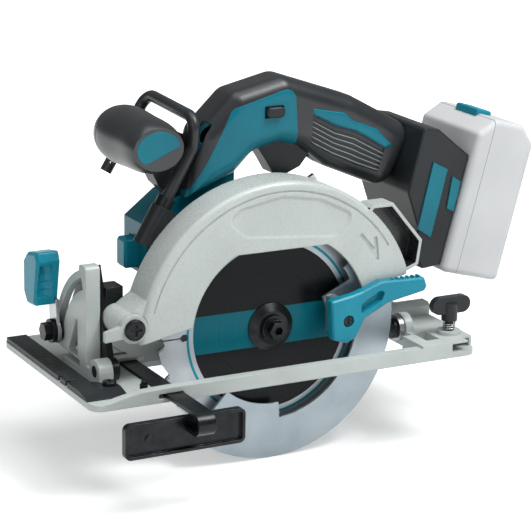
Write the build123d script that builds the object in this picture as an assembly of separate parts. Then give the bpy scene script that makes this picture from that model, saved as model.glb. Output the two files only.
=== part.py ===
from build123d import *
import os
from math import acos, cos, hypot, pi, radians, sin, sqrt, tan

# Cordless circular saw, millimetres: +X to the rear, +Y to the motor side, +Z up.
# The origin is where the blade plane meets the sole, straight below the spindle.

# Clearances
RUN = 0.05
GAP = 0.4
FACE_GAP = 0.5

# Blade, flanges and spindle
BLADE_R = 82.5
BLADE_T = 1.6
TEETH = 24
TOOTH_H = 5.0
TOOTH_START = 4.5
TOOTH_RAKE = 1.8
TOOTH_BACK = 6.3
TOOTH_RELIEF = 1.2
BORE_R = 10.0
SPINDLE_Z = 25.5
FLANGE_R = 16.5
FLANGE_T = 4.2
FLANGE_CONE = 0.8
FLANGE_EDGE = 5.0
BOLT_HEAD_R = 6.5
BOLT_HEAD_T = 6.0
SPINDLE_R = 7.5
SLOT_W = 1.0
SLOT_LEN = 14.0
BLADE_SLOTS = 4
KEYHOLE_R = 2.6

# Base casting
BASE_X0 = -147.0
BASE_X1 = 137.0
BASE_Y0 = -44.5
BASE_Y1 = 110.5
PLATE_T = 4.0
CORNER_R = 8.0
RAIL_W = 7.0
RAIL_H = 9.5
WIN_X0 = -88.0
WIN_X1 = 93.5
WIN_Y1 = 25.0
BLOCK_H = 11.0
BLOCK_Y1 = 30.0
LIP_W = 3.0
LIP_H = 7.0

# Bevel axis, quadrant and lever
BEVEL_Y = -2.0
BEVEL_Z = 12.0
PIN_R = 4.0
PIN_HEAD_R = 7.0
PIN_HEAD_T = 2.2
QUAD_X0 = -128.0
QUAD_T = 10.0
QUAD_R = 66.0
QUAD_PLATE_T = 5.0
SLOT_R = 57.0
SLOT_HALF = 4.0
POST_Y0 = 11.0
POST_W = 11.0
POST_H = 78.0
BEVEL_BOLT_R = 3.0
BEVEL_BOLT_ANGLE = 13.0
TILT_T = 4.6
TILT_R = 68.0

# Depth pivot and guide
DEPTH_X = -107.0
DEPTH_Z = 42.0
DEPTH_PIN_R = 4.0
BOSS_R = 9.5
GUIDE_R = 160.0
GUIDE_W = 14.0
GUIDE_T = 3.5
GUIDE_Y0 = 13.0
CLAMP_R = 3.0
CLAMP_ANGLE = -5.0
DEPTH_TRAVEL = 30.0

# Guards
GUARD_REACH = 7.5
LG_R = BLADE_R + GUARD_REACH
UG_REACH = 12.0
UG_R = LG_R + UG_REACH
UG_WALL = 3.0
UG_NEAR = -16.0
UG_FAR = 12.0
WINDOW_R = 66.0
WINDOW_TOP = 82.0
LG_WALL = 2.0
LG_NEAR = -8.0
LG_FAR = 5.0
LG_BAND = 63.0
NOSE_R = 22.0
HUB_W = 4.0

# Gears and motor
MODULE = 0.8
GEAR_TEETH = 37
PINION_TEETH = 10
GEAR_CENTRES = MODULE * (GEAR_TEETH + PINION_TEETH) / 2
MOTOR_ANGLE = 125.0
MOTOR_X = GEAR_CENTRES * cos(radians(MOTOR_ANGLE))
MOTOR_Z = SPINDLE_Z + GEAR_CENTRES * sin(radians(MOTOR_ANGLE))
GEARBOX_R = 18.6
GEARBOX_WALL = 2.4
GEARBOX_Y1 = 42.0
GEAR_Y0 = 19.0
GEAR_W = 9.0
MOTOR_R = 33.0
MOTOR_WALL = 3.0
MOTOR_Y1 = 92.0
CAP_Y1 = 105.0
ROTOR_R = 17.5
AIR_GAP = 0.6
SHAFT_R = 3.0

# Handle and battery
HANDLE_Y = 30.0
HANDLE_W = 36.0
SHELL = 2.6
RUBBER = 2.0
BOND = 0.15
PACK_TILT = 15.0
PACK_X = 138.5
PACK_Z = 89.0
PACK_Y = 26.0
PACK_LOW = -40.0
PACK_TOP = 70.0
PACK_D = 47.0
PACK_W = 75.0
PACK_WALL = 2.5
PACK_SLOPE = 12.0
PACK_ROUND = 4.0


def bar(x0, x1, y0, y1, z0, z1):
    """Box between two corners."""
    return Pos((x0 + x1) / 2, (y0 + y1) / 2, (z0 + z1) / 2) * Box(x1 - x0, y1 - y0, z1 - z0)


def rod_x(r, x0, x1, y, z):
    """Round bar along X."""
    return Pos((x0 + x1) / 2, y, z) * Rot(0, 90, 0) * Cylinder(r, x1 - x0)


def rod_y(r, y0, y1, x, z):
    """Round bar along Y."""
    return Pos(x, (y0 + y1) / 2, z) * Rot(90, 0, 0) * Cylinder(r, y1 - y0)


def rod_z(r, z0, z1, x, y):
    """Upright round bar."""
    return Pos(x, y, (z0 + z1) / 2) * Cylinder(r, z1 - z0)


def side_plate(sketch, y0, y1):
    """Flat sketch in X and Z made solid from y0 to y1."""
    return extrude(Plane((0, y0, 0), x_dir=(1, 0, 0), z_dir=(0, -1, 0)) * sketch, amount=y0 - y1)


def cross_plate(sketch, x0, x1):
    """Flat sketch in Y and Z made solid from x0 to x1."""
    return extrude(Plane((x0, 0, 0), x_dir=(0, 1, 0), z_dir=(1, 0, 0)) * sketch, amount=x1 - x0)


def floor_plate(sketch, z0, z1):
    """Flat sketch in X and Y made solid from z0 to z1."""
    return extrude(Plane((0, 0, z0)) * sketch, amount=z1 - z0)


def outline(*points, r=0.0):
    """Closed outline through points, with its corners rounded."""
    face = make_face(Polyline(*points, close=True))
    if r > 0:
        return fillet(face.vertices(), r)
    return face


def ring_sector(r0, r1, a0, a1):
    """Part of a flat ring between two angles in degrees."""
    outer = CenterArc((0, 0), r1, a0, a1 - a0)
    inner = CenterArc((0, 0), r0, a0, a1 - a0)
    ends = [Line(inner @ 0, outer @ 0), Line(inner @ 1, outer @ 1)]
    return make_face([outer, inner] + ends)


def pie(r, a0, a1):
    """Flat sector of a disc between two angles in degrees."""
    arc = CenterArc((0, 0), r, a0, a1 - a0)
    return make_face([arc, Line((0, 0), arc @ 0), Line((0, 0), arc @ 1)])


def polar(r, angle):
    """Point at a radius and an angle in degrees."""
    return (r * cos(radians(angle)), r * sin(radians(angle)))


def write(name, shape):
    """Save one node, as one solid or a group of solids."""
    solids = shape.solids()
    export_step(solids[0] if len(solids) == 1 else Compound(children=list(solids)), f"parts/{name}.step")


def screw(r, length, head_r, head_t, recess=True):
    """Pan-head screw along Z: the head's seat is at zero, the shank points down."""
    head = Cylinder(head_r, head_t, align=(Align.CENTER, Align.CENTER, Align.MIN))
    head = fillet(head.faces().sort_by(Axis.Z)[-1].edges(), head_t * 0.45)
    body = head + Cylinder(r, length, align=(Align.CENTER, Align.CENTER, Align.MAX))
    if recess:
        slot = Box(head_r * 1.1, head_r * 0.28, head_t)
        body -= Pos(0, 0, head_t) * (slot + Rot(0, 0, 90) * slot)
    return body


# Rip fence: a flat bar that slides across the base, turned back under itself into a guide plate
FENCE_X0 = -97.0
FENCE_W = 12.0
FENCE_T = 2.6
FENCE_Z = 3.0
FENCE_INNER_Y = 46.0
FENCE_TIP_Y = -92.0
FENCE_DROP = 15.0
FENCE_PLATE_Y = -70.0
FENCE_PLATE_T = 2.5
FENCE_PLATE_X0 = -139.0
FENCE_PLATE_X1 = -56.0
FENCE_PLATE_H = 23.0
FENCE_FLANGE = 5.0
FENCE_CORNER = 4.0
FENCE_RIM = 2.0
FENCE_SLOT_X = 5.0
FENCE_RISE = 7.0
RIVET_R = 2.5
RIVET_T = 1.2
RIVET_IN = 17.0


def fence_bar():
    x1 = FENCE_X0 + FENCE_W
    z1 = FENCE_Z + FENCE_T
    bend_r = FENCE_DROP / 2
    bend_y = FENCE_TIP_Y + bend_r
    bend_z = z1 - bend_r
    top = bar(FENCE_X0, x1, bend_y, FENCE_INNER_Y, FENCE_Z, z1)
    low_z = z1 - FENCE_DROP
    low = bar(FENCE_X0, x1, bend_y, FENCE_PLATE_Y - FENCE_PLATE_T, low_z, low_z + FENCE_T)
    bend = rod_x(bend_r, FENCE_X0, x1, bend_y, bend_z) - rod_x(bend_r - FENCE_T, FENCE_X0, x1, bend_y, bend_z)
    bend &= bar(FENCE_X0, x1, FENCE_TIP_Y, bend_y, bend_z - bend_r, bend_z + bend_r)
    return top + low + bend


def fence_plate():
    """Guide plate with its rim turned towards the user, and a strap that the bar is welded to."""
    bar_top = FENCE_Z + FENCE_T - FENCE_DROP + FENCE_T
    top = bar_top + FENCE_RISE
    low = top - FENCE_PLATE_H
    face = bar(FENCE_PLATE_X0, FENCE_PLATE_X1, FENCE_PLATE_Y - FENCE_PLATE_T, FENCE_PLATE_Y, low, top)
    face = fillet(face.edges().filter_by(Axis.Y), FENCE_CORNER)
    y_rim = FENCE_PLATE_Y - FENCE_FLANGE
    rim = bar(FENCE_PLATE_X0, FENCE_PLATE_X1, y_rim, FENCE_PLATE_Y - FENCE_PLATE_T, low, top)
    rim = fillet(rim.edges().filter_by(Axis.Y), FENCE_CORNER)
    t = FENCE_RIM
    hollow = bar(FENCE_PLATE_X0 + t, FENCE_PLATE_X1 - t, y_rim, FENCE_PLATE_Y - FENCE_PLATE_T, low + t, top - t)
    rim -= fillet(hollow.edges().filter_by(Axis.Y), FENCE_CORNER - FENCE_RIM)
    x1 = FENCE_X0 + FENCE_W
    rim -= bar(FENCE_X0 - GAP, x1 + GAP, y_rim, FENCE_PLATE_Y, bar_top - FENCE_T - GAP, bar_top + GAP)
    seat = FENCE_PLATE_Y - FENCE_PLATE_T
    rivet = rod_y(RIVET_R, seat - RIVET_T, seat, FENCE_PLATE_X0 + RIVET_IN, low + FENCE_PLATE_H / 2)
    return face + rim + rivet


# Base: wide sole on the motor side, narrow rail on the blade side and a rear clamp block
LUG_X0 = 100.0
LUG_T = 6.0
LUG_R = 10.0
CLAMP_X = 126.0
CLAMP_Y = -25.0
CLAMP_BOSS_R = 8.0
CLAMP_BOSS_H = 2.5
CLAMP_SCREW_R = 3.0
REAR_SLOT_W = 18.0
REAR_SLOT_H = 5.5
SCALE_SCREW_R = 2.0
SCREW_BITE = 3.0
RAMP_IN = 6.0
RAMP_L = 20.0
RAMP_DROP = 0.6
RIDGE_W = 12.0
RIDGE_H = 9.0
RIDGE_EDGE = 2.0
LUG_ROOM = 6.0
POCKET_WALL = 4.0
POCKET_L = 10.0
FENCE_TRAVEL = 30.0
STRAP_Y0 = 26.0
STRAP_W = 8.0
STRAP_T = 2.0
STRAP_FOOT = 5.0


def base_plate():
    mid_x = (BASE_X0 + BASE_X1) / 2
    mid_y = (BASE_Y0 + BASE_Y1) / 2
    plan = RectangleRounded(BASE_X1 - BASE_X0, BASE_Y1 - BASE_Y0, CORNER_R)
    sole = floor_plate(Pos(mid_x, mid_y) * plan, 0, PLATE_T)
    ramp_x = WIN_X0 - RAMP_IN
    rail_shape = outline(
        (BASE_X0 + CORNER_R, 0), (BASE_X1 - CORNER_R, 0), (BASE_X1 - CORNER_R, RAIL_H),
        (ramp_x, RAIL_H), (ramp_x - RAMP_L, RAIL_H - RAMP_DROP), (BASE_X0 + CORNER_R, PLATE_T))
    body = sole + side_plate(rail_shape, BASE_Y0, BASE_Y0 + RAIL_W)
    body += bar(WIN_X0 + CORNER_R, BASE_X1 - CORNER_R, BASE_Y1 - LIP_W, BASE_Y1, 0, LIP_H)
    body += bar(BASE_X1 - LIP_W, BASE_X1, 0, BASE_Y1 - CORNER_R, 0, LIP_H)
    body += bar(WIN_X1, BASE_X1 - CORNER_R, BASE_Y0, BLOCK_Y1, 0, BLOCK_H)
    body += bar(BASE_X1 - CORNER_R, BASE_X1, BASE_Y0 + CORNER_R, BLOCK_Y1, 0, BLOCK_H)
    ridge = bar(LUG_X0 + LUG_T, BASE_X1, BLOCK_Y1 - RIDGE_W, BLOCK_Y1, BLOCK_H, BLOCK_H + RIDGE_H)
    body += chamfer(ridge.edges().filter_by(Axis.X).sort_by(Axis.Z)[-2:], RIDGE_EDGE)
    body += rod_z(CLAMP_BOSS_R, BLOCK_H, BLOCK_H + CLAMP_BOSS_H, CLAMP_X, CLAMP_Y)
    lug = bar(LUG_X0, LUG_X0 + LUG_T, BEVEL_Y - LUG_R, BEVEL_Y + LUG_R, PLATE_T, BEVEL_Z)
    body += lug + rod_x(LUG_R, LUG_X0, LUG_X0 + LUG_T, BEVEL_Y, BEVEL_Z)
    body -= bar(WIN_X0, WIN_X1, BASE_Y0 + RAIL_W, WIN_Y1, 0, BLOCK_H)
    body -= bar(WIN_X1, LUG_X0, BEVEL_Y - LUG_R - LUG_ROOM, WIN_Y1, 0, BLOCK_H)
    body -= rod_x(PIN_R, LUG_X0, LUG_X0 + LUG_T, BEVEL_Y, BEVEL_Z)
    slot_x = CLAMP_X - REAR_SLOT_W / 2
    body -= bar(slot_x, slot_x + REAR_SLOT_W, BASE_Y0, CLAMP_Y + REAR_SLOT_W, PLATE_T, PLATE_T + REAR_SLOT_H)
    body -= rod_z(CLAMP_SCREW_R + RUN, PLATE_T, BLOCK_H + CLAMP_BOSS_H, CLAMP_X, CLAMP_Y)
    pocket_x1 = slot_x - POCKET_WALL
    pocket_y0 = BASE_Y0 + RAIL_W + POCKET_WALL
    body -= bar(pocket_x1 - POCKET_L, pocket_x1, pocket_y0, BEVEL_Y - LUG_R - POCKET_WALL, PLATE_T, BLOCK_H)
    channel_x1 = FENCE_X0 + FENCE_W + GAP
    low = FENCE_Z - GAP
    high = FENCE_Z + FENCE_T + GAP
    body -= bar(FENCE_X0 - FENCE_SLOT_X, channel_x1, BASE_Y0, BASE_Y0 + RAIL_W, low, high)
    body -= bar(FENCE_X0 - GAP, channel_x1, BASE_Y0 + RAIL_W, FENCE_INNER_Y + FENCE_TRAVEL, low, PLATE_T)
    strap_y1 = STRAP_Y0 + STRAP_W
    strap = bar(FENCE_X0 - STRAP_FOOT, channel_x1 + STRAP_FOOT, STRAP_Y0, strap_y1, PLATE_T, high + STRAP_T)
    strap -= bar(FENCE_X0 - GAP, channel_x1, STRAP_Y0, strap_y1, PLATE_T, high)
    body += strap
    for x, y in quad_screw_places() + [(SCALE_SCREW_X, SCALE_SCREW_Y)]:
        body -= rod_z(SCALE_SCREW_R, PLATE_T - SCREW_BITE, PLATE_T, x, y)
    return body


# Front scale: black strip with graduations, sight notches and a sloped nose
SCALE_X0 = -146.5
SCALE_W = 14.0
SCALE_WIDE = 28.0
SCALE_T = 3.4
SCALE_Y0 = -34.0
SCALE_STEP_Y = -12.0
SCALE_EASE = 6.0
SCALE_Y1 = 104.0
SCALE_SCREW_X = -124.0
SCALE_SCREW_Y = -17.0
SCALE_NOSE = 12.0
SCALE_LIP = 0.8
TICK_Y0 = 2.0
TICKS = 20
TICK_GROUP = 5
LONG_TICK = 8.7
SHORT_TICK = 5.6
TICK_W = 0.6
TICK_DEPTH = 0.4
NOTCH_W = 3.0
NOTCHES = (0.0, 12.0)


def front_scale():
    shape = outline(
        (SCALE_X0, SCALE_Y0), (SCALE_X0 + SCALE_WIDE, SCALE_Y0), (SCALE_X0 + SCALE_WIDE, SCALE_STEP_Y),
        (SCALE_X0 + SCALE_W + SCALE_EASE, SCALE_STEP_Y), (SCALE_X0 + SCALE_W, SCALE_STEP_Y + SCALE_EASE),
        (SCALE_X0 + SCALE_W, SCALE_Y1), (SCALE_X0, SCALE_Y1))
    strip = floor_plate(shape, PLATE_T, PLATE_T + SCALE_T)
    top = PLATE_T + SCALE_T
    slope = outline((SCALE_Y0, PLATE_T + SCALE_LIP), (SCALE_Y0 + SCALE_NOSE, top), (SCALE_Y0, top))
    strip -= cross_plate(slope, SCALE_X0, SCALE_X0 + SCALE_WIDE)
    pitch = (SCALE_Y1 - TICK_Y0) / TICKS
    for i in range(TICKS):
        y = TICK_Y0 + i * pitch
        reach = LONG_TICK if i % TICK_GROUP == 0 else SHORT_TICK
        strip -= bar(SCALE_X0, SCALE_X0 + reach, y, y + TICK_W, top - TICK_DEPTH, top)
    for y in NOTCHES:
        strip -= bar(SCALE_X0, SCALE_X0 + NOTCH_W, y - NOTCH_W / 2, y + NOTCH_W / 2, PLATE_T, top)
    strip -= rod_z(SCALE_SCREW_R + RUN, PLATE_T, top, SCALE_SCREW_X, SCALE_SCREW_Y)
    return strip


# Bevel quadrant: upright casting on the base with an arc slot for the clamp bolt
QUAD_FOOT_H = 4.0
QUAD_TOE = 8.0
TOE_IN = 10.0
TOE_EDGE = 6.0
QUAD_BOSS_R = 8.0
POST_EDGE = 3.0
FAN_A0 = 2.0
FAN_A1 = 76.0
SLOT_SPARE = 5.5
QUAD_WEB = 3.0
WINDOW_LOW = 14.0
WINDOW_L = 16.0
WINDOW_H = 30.0
QUAD_SCREW_R = 2.0


def quad_screw_places():
    x = QUAD_X0 + QUAD_T + QUAD_TOE / 2
    return [(x, POST_Y0 + TOE_IN + TOE_EDGE), (x, BEVEL_Y + SLOT_R - TOE_EDGE)]


def bevel_quadrant():
    x1 = QUAD_X0 + QUAD_T
    plate_x1 = QUAD_X0 + QUAD_PLATE_T
    centre = Pos(BEVEL_Y, BEVEL_Z)
    foot_y1 = BEVEL_Y + SLOT_R - QUAD_WEB
    foot_z1 = PLATE_T + QUAD_FOOT_H
    post = bar(QUAD_X0, x1, POST_Y0, POST_Y0 + POST_W, PLATE_T, POST_H)
    post = fillet(post.edges().filter_by(Axis.X).sort_by(Axis.Z)[-2:], POST_EDGE)
    room = bar(QUAD_X0, x1, POST_Y0 + POST_W / 2, BEVEL_Y + QUAD_R, PLATE_T, POST_H)
    plate = cross_plate(centre * pie(QUAD_R, FAN_A0, FAN_A1), QUAD_X0, plate_x1) & room
    foot = bar(QUAD_X0, x1, POST_Y0, foot_y1, PLATE_T, foot_z1)
    foot += bar(QUAD_X0, x1 + QUAD_TOE, POST_Y0 + TOE_IN, foot_y1, PLATE_T, foot_z1)
    slot_r0 = SLOT_R - SLOT_HALF
    rib = cross_plate(centre * ring_sector(slot_r0 - QUAD_WEB, slot_r0, FAN_A0, FAN_A1), QUAD_X0, x1) & room
    boss = bar(QUAD_X0, x1, BEVEL_Y - QUAD_BOSS_R, POST_Y0 + POST_W / 2, PLATE_T, BEVEL_Z)
    boss += rod_x(QUAD_BOSS_R, QUAD_X0, x1, BEVEL_Y, BEVEL_Z)
    body = post + plate + foot + rib + boss
    edge = POST_Y0 + POST_W + QUAD_WEB
    window = [(edge, WINDOW_LOW), (edge + WINDOW_L, WINDOW_LOW), (edge, WINDOW_LOW + WINDOW_H)]
    body -= cross_plate(outline(*window, r=QUAD_WEB / 2), QUAD_X0, x1)
    slot = centre * ring_sector(slot_r0, SLOT_R + SLOT_HALF, BEVEL_BOLT_ANGLE - SLOT_SPARE, FAN_A1 - SLOT_SPARE)
    body -= cross_plate(slot, QUAD_X0, x1)
    body -= rod_x(PIN_R, QUAD_X0, x1, BEVEL_Y, BEVEL_Z)
    for x, y in quad_screw_places():
        body -= rod_z(QUAD_SCREW_R + RUN, PLATE_T, foot_z1, x, y)
    return body


def bevel_pins():
    """Front and rear bevel pins, both fixed to the base; the rear one has a wide disc head."""
    front = rod_x(PIN_R, QUAD_X0, TILT_X1, BEVEL_Y, BEVEL_Z)
    head_x = LUG_X0 - FOOT_T - GAP
    rear = rod_x(PIN_R, head_x, LUG_X0 + LUG_T, BEVEL_Y, BEVEL_Z)
    head = rod_x(PIN_HEAD_R, head_x - PIN_HEAD_T, head_x, BEVEL_Y, BEVEL_Z)
    return front + rear + head


STOP_X = -106.0
STOP_Y = -30.0
STOP_R = 2.6
STOP_H = 5.0
STOP_TIP_R = 1.8
STOP_TIP_H = 2.0
SCALE_HEAD = (4.6, 2.6)
QUAD_HEAD = (3.6, 2.2)


def base_screws():
    """Scale screw, the two quadrant screws and the upright stop screw beside the fence channel."""
    scale_top = PLATE_T + SCALE_T
    shank = SCALE_T + SCREW_BITE - GAP
    parts = [Pos(SCALE_SCREW_X, SCALE_SCREW_Y, scale_top) * screw(SCALE_SCREW_R, shank, *SCALE_HEAD)]
    for x, y in quad_screw_places():
        seat = PLATE_T + QUAD_FOOT_H
        parts.append(Pos(x, y, seat) * screw(QUAD_SCREW_R, QUAD_FOOT_H + SCREW_BITE - GAP, *QUAD_HEAD))
    stop_z = PLATE_T + STOP_H
    stop = rod_z(STOP_R, PLATE_T, stop_z, STOP_X, STOP_Y)
    parts.append(stop + rod_z(STOP_TIP_R, stop_z, stop_z + STOP_TIP_H, STOP_X, STOP_Y))
    return Compound(children=parts)


# Tilt bracket: plate that swings behind the quadrant and carries the depth pivot
TILT_X0 = QUAD_X0 + QUAD_T + GAP
TILT_X1 = TILT_X0 + TILT_T
ARM_Y0 = UG_FAR + 2 * FACE_GAP
ARM_W = 7.0
ARM_H = 20.0
ARM_ROUND = 9.0
ARM_BLOCK = 6.0
ARM_BITE = 2.0
TILT_A1 = 70.0
HUB_LIMIT = BEVEL_Z - PLATE_T - FACE_GAP


def bolt_place():
    """Bevel clamp bolt's place in Y and Z."""
    dy, dz = polar(SLOT_R, BEVEL_BOLT_ANGLE)
    return BEVEL_Y + dy, BEVEL_Z + dz


def tilt_bracket():
    plate = cross_plate(Pos(BEVEL_Y, BEVEL_Z) * pie(TILT_R, FAN_A0, TILT_A1), TILT_X0, TILT_X1)
    hub = rod_x(HUB_LIMIT, TILT_X0, TILT_X1, BEVEL_Y, BEVEL_Z)
    arm_x1 = DEPTH_X + ARM_H / 2
    arm = bar(TILT_X0, arm_x1, ARM_Y0, ARM_Y0 + ARM_W, DEPTH_Z - ARM_H / 2, DEPTH_Z + ARM_H / 2)
    arm = fillet(arm.edges().filter_by(Axis.Y).sort_by(Axis.X)[-2:], ARM_ROUND)
    arm_top = DEPTH_Z + ARM_H / 2
    block = bar(TILT_X1, DEPTH_X + ARM_BLOCK, ARM_Y0, ARM_Y0 + 2 * ARM_W, arm_top - ARM_BITE, DEPTH_Z + ARM_H)
    plate -= rod_y(BOSS_R + 2 * FACE_GAP, BEVEL_Y, ARM_Y0, DEPTH_X, DEPTH_Z)
    body = plate + hub + arm + block
    body -= rod_x(PIN_R + RUN, TILT_X0, TILT_X1, BEVEL_Y, BEVEL_Z)
    by, bz = bolt_place()
    body -= rod_x(BEVEL_BOLT_R, TILT_X0, TILT_X1, by, bz)
    body -= rod_y(DEPTH_PIN_R, ARM_Y0, ARM_Y0 + ARM_W, DEPTH_X, DEPTH_Z)
    return body


# Bevel clamp: flanged bolt through the slot, steel arm and moulded paddle
LEVER_X1 = QUAD_X0 - 2.6
FLANGE_HEAD = (8.0, 2.4)
HEX_R = 6.2
HEX_T = 5.1
LEVER_WASHER_R = 7.0
LEVER_EYE_R = 8.5
ARM_LONG = 22.0
ARM_LEAN = 2.0
ARM_HALF = 6.0
LEVER_PLATE_T = 2.4
PADDLE_X0 = -146.5
PADDLE_W = 22.0
PADDLE_IN = 3.0
PADDLE_LIFT = 18.0
PADDLE_SLANT = 3.0
PADDLE_EDGE = 1.8
SCOOPS = 4
SCOOP_R = 6.8
SCOOP_STEP = 0.7
PADDLE_H = 34.0


def bevel_bolt():
    """Bolt with its flanged head in front of the lever, and a washer between the lever and the quadrant."""
    by, bz = bolt_place()
    head_x = LEVER_X1 - LEVER_PLATE_T - GAP
    shank = rod_x(BEVEL_BOLT_R, head_x, TILT_X1, by, bz)
    flange_r, flange_t = FLANGE_HEAD
    hex_x = head_x - flange_t
    flange = rod_x(flange_r, hex_x, head_x, by, bz)
    hexagon = cross_plate(Pos(by, bz) * RegularPolygon(HEX_R, 6), hex_x - HEX_T, hex_x)
    washer = rod_x(LEVER_WASHER_R, LEVER_X1 + GAP, QUAD_X0 - GAP, by, bz)
    return shank + flange + hexagon + washer


def lever_arm_shape():
    """Outline of the steel arm in Y and Z, leaning away from the blade."""
    by, bz = bolt_place()
    top = bz + ARM_LONG
    y0, y1 = by - ARM_HALF, by + ARM_HALF
    return outline((y0, bz), (y1, bz), (y1 + ARM_LEAN, top), (y0 + ARM_LEAN, top))


def bevel_lever_arm():
    by, bz = bolt_place()
    x0 = LEVER_X1 - LEVER_PLATE_T
    body = cross_plate(lever_arm_shape(), x0, LEVER_X1) + rod_x(LEVER_EYE_R, x0, LEVER_X1, by, bz)
    return body - rod_x(BEVEL_BOLT_R + RUN, x0, LEVER_X1, by, bz)


def bevel_lever():
    """Moulded paddle on the end of the steel arm, with a stepped finger scoop on the near side."""
    by, bz = bolt_place()
    low = bz + PADDLE_LIFT
    top = low + PADDLE_H
    y0 = by - PADDLE_IN
    y1 = y0 + PADDLE_W
    slant = PADDLE_SLANT
    shape = outline((y0 + slant, low), (y1 - 2 * slant, low - slant / 2), (y1, low + 2 * slant), (y1, top - 2 * slant),
                    (y1 - 2 * slant, top), (y0, top + slant), (y0 - slant, top - slant), r=PADDLE_EDGE)
    body = cross_plate(shape, PADDLE_X0, LEVER_X1)
    body = chamfer(body.faces().sort_by(Axis.X)[0].edges(), PADDLE_EDGE)
    x0 = LEVER_X1 - LEVER_PLATE_T
    mid_x = (PADDLE_X0 + x0) / 2
    step = PADDLE_H / (SCOOPS + 2)
    for i in range(SCOOPS):
        z = low + step * (i + 1)
        body -= rod_z(SCOOP_R - i * SCOOP_STEP, z, z + step, mid_x, y0 - slant)
    return body - cross_plate(lever_arm_shape(), x0, LEVER_X1)


# Depth pivot: shoulder screw through the upper guard's boss, with a tab washer under its head
BOSS_Y0 = UG_NEAR + 2.4
BOSS_Y1 = UG_FAR + FACE_GAP
WASHER_T = 4.0
PIVOT_HEAD = (7.0, 3.0)
TAB_L = 20.0
TAB_HALF = 5.0
TAB_DROP = 1.5


def depth_pivot_screw():
    head_y = BOSS_Y0 - FACE_GAP - WASHER_T
    shank = rod_y(DEPTH_PIN_R, head_y, ARM_Y0 + ARM_W, DEPTH_X, DEPTH_Z)
    head = Pos(DEPTH_X, head_y, DEPTH_Z) * Rot(90, 0, 0) * screw(DEPTH_PIN_R, GAP, *PIVOT_HEAD)
    return shank + head


def pivot_washer():
    y1 = BOSS_Y0 - FACE_GAP
    body = rod_y(BOSS_R, y1 - WASHER_T, y1, DEPTH_X, DEPTH_Z)
    tip = DEPTH_X - TAB_L
    low, high = DEPTH_Z - TAB_HALF, DEPTH_Z + TAB_HALF
    tab = outline((tip, low - TAB_DROP), (DEPTH_X, low), (DEPTH_X, high), (tip, DEPTH_Z))
    body += side_plate(tab, y1 - WASHER_T, y1)
    return body - rod_y(DEPTH_PIN_R, y1 - WASHER_T, y1, DEPTH_X, DEPTH_Z)


# Depth guide: steel arc on the rear bevel pin, with a slot for the depth clamp
FOOT_T = 4.0
FOOT_R = 9.0
FOOT_H = 12.0
GUIDE_SPARE = 4.0
SLOT_END = 1.2


def clamp_place():
    dx, dz = polar(GUIDE_R, CLAMP_ANGLE)
    return DEPTH_X + dx, DEPTH_Z + dz


def depth_guide():
    at_pivot = Pos(DEPTH_X, DEPTH_Z)
    low = CLAMP_ANGLE - GUIDE_SPARE
    high = CLAMP_ANGLE + DEPTH_TRAVEL + GUIDE_SPARE
    arc = at_pivot * ring_sector(GUIDE_R - GUIDE_W / 2, GUIDE_R + GUIDE_W / 2, low, high)
    foot_x1 = LUG_X0 - GAP / 2
    half = FOOT_H / 2
    cx, cz = clamp_place()
    low, high = BEVEL_Z - half, BEVEL_Z + half
    arm = outline((cx - GUIDE_W / 2, low), (foot_x1, low), (foot_x1, high), (cx - half, cz - GUIDE_W / 2))
    y1 = GUIDE_Y0 + GUIDE_T
    body = side_plate(arc, GUIDE_Y0, y1) + side_plate(arm, GUIDE_Y0, y1)
    reach = CLAMP_R + GAP / 2
    slot_a0 = CLAMP_ANGLE - SLOT_END
    slot = ring_sector(GUIDE_R - reach, GUIDE_R + reach, slot_a0, slot_a0 + DEPTH_TRAVEL + 2 * SLOT_END)
    body -= side_plate(at_pivot * slot, GUIDE_Y0, y1)
    foot = bar(foot_x1 - FOOT_T, foot_x1, BEVEL_Y, y1, BEVEL_Z - half, BEVEL_Z + half)
    foot += rod_x(FOOT_R, foot_x1 - FOOT_T, foot_x1, BEVEL_Y, BEVEL_Z)
    return body + foot - rod_x(PIN_R + RUN, foot_x1 - FOOT_T, foot_x1, BEVEL_Y, BEVEL_Z)


# Depth clamp: stud in the upper guard and a lever on the motor side
DEPTH_LEVER_Y0 = GUIDE_Y0 + GUIDE_T + FACE_GAP
DEPTH_LEVER_T = 8.0
DEPTH_LEVER_L = 52.0
DEPTH_LEVER_RISE = 13.0
DEPTH_LEVER_HALF = 6.0
DEPTH_EYE_R = 9.0
DEPTH_RIBS = 5
DEPTH_RIB_R = 0.8
DEPTH_RIB_PITCH = 3.2
NUT_R = 5.2
NUT_T = 3.2


def depth_stud():
    cx, cz = clamp_place()
    nut_y = DEPTH_LEVER_Y0 + DEPTH_LEVER_T + GAP
    stud = rod_y(CLAMP_R, UG_FAR - UG_WALL, nut_y + NUT_T, cx, cz)
    return stud + side_plate(Pos(cx, cz) * RegularPolygon(NUT_R, 6), nut_y, nut_y + NUT_T)


def depth_lever():
    cx, cz = clamp_place()
    y1 = DEPTH_LEVER_Y0 + DEPTH_LEVER_T
    half = DEPTH_LEVER_HALF
    tip_x, tip_z = cx + DEPTH_LEVER_L, cz + DEPTH_LEVER_RISE
    neck_x = tip_x - half
    arm = outline((cx, cz - half), (neck_x, tip_z - half), (tip_x, tip_z), (neck_x, tip_z + half), (cx, cz + half))
    body = side_plate(arm, DEPTH_LEVER_Y0, y1) + rod_y(DEPTH_EYE_R, DEPTH_LEVER_Y0, y1, cx, cz)
    slope = DEPTH_LEVER_RISE / (DEPTH_LEVER_L - half)
    for i in range(DEPTH_RIBS):
        x = tip_x - half - (i + 1) * DEPTH_RIB_PITCH
        z = cz + half + (x - cx) * slope
        body += rod_y(DEPTH_RIB_R, DEPTH_LEVER_Y0 + DEPTH_RIB_R, y1 - DEPTH_RIB_R, x, z)
    return body - rod_y(CLAMP_R + RUN, DEPTH_LEVER_Y0, y1, cx, cz)


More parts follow.
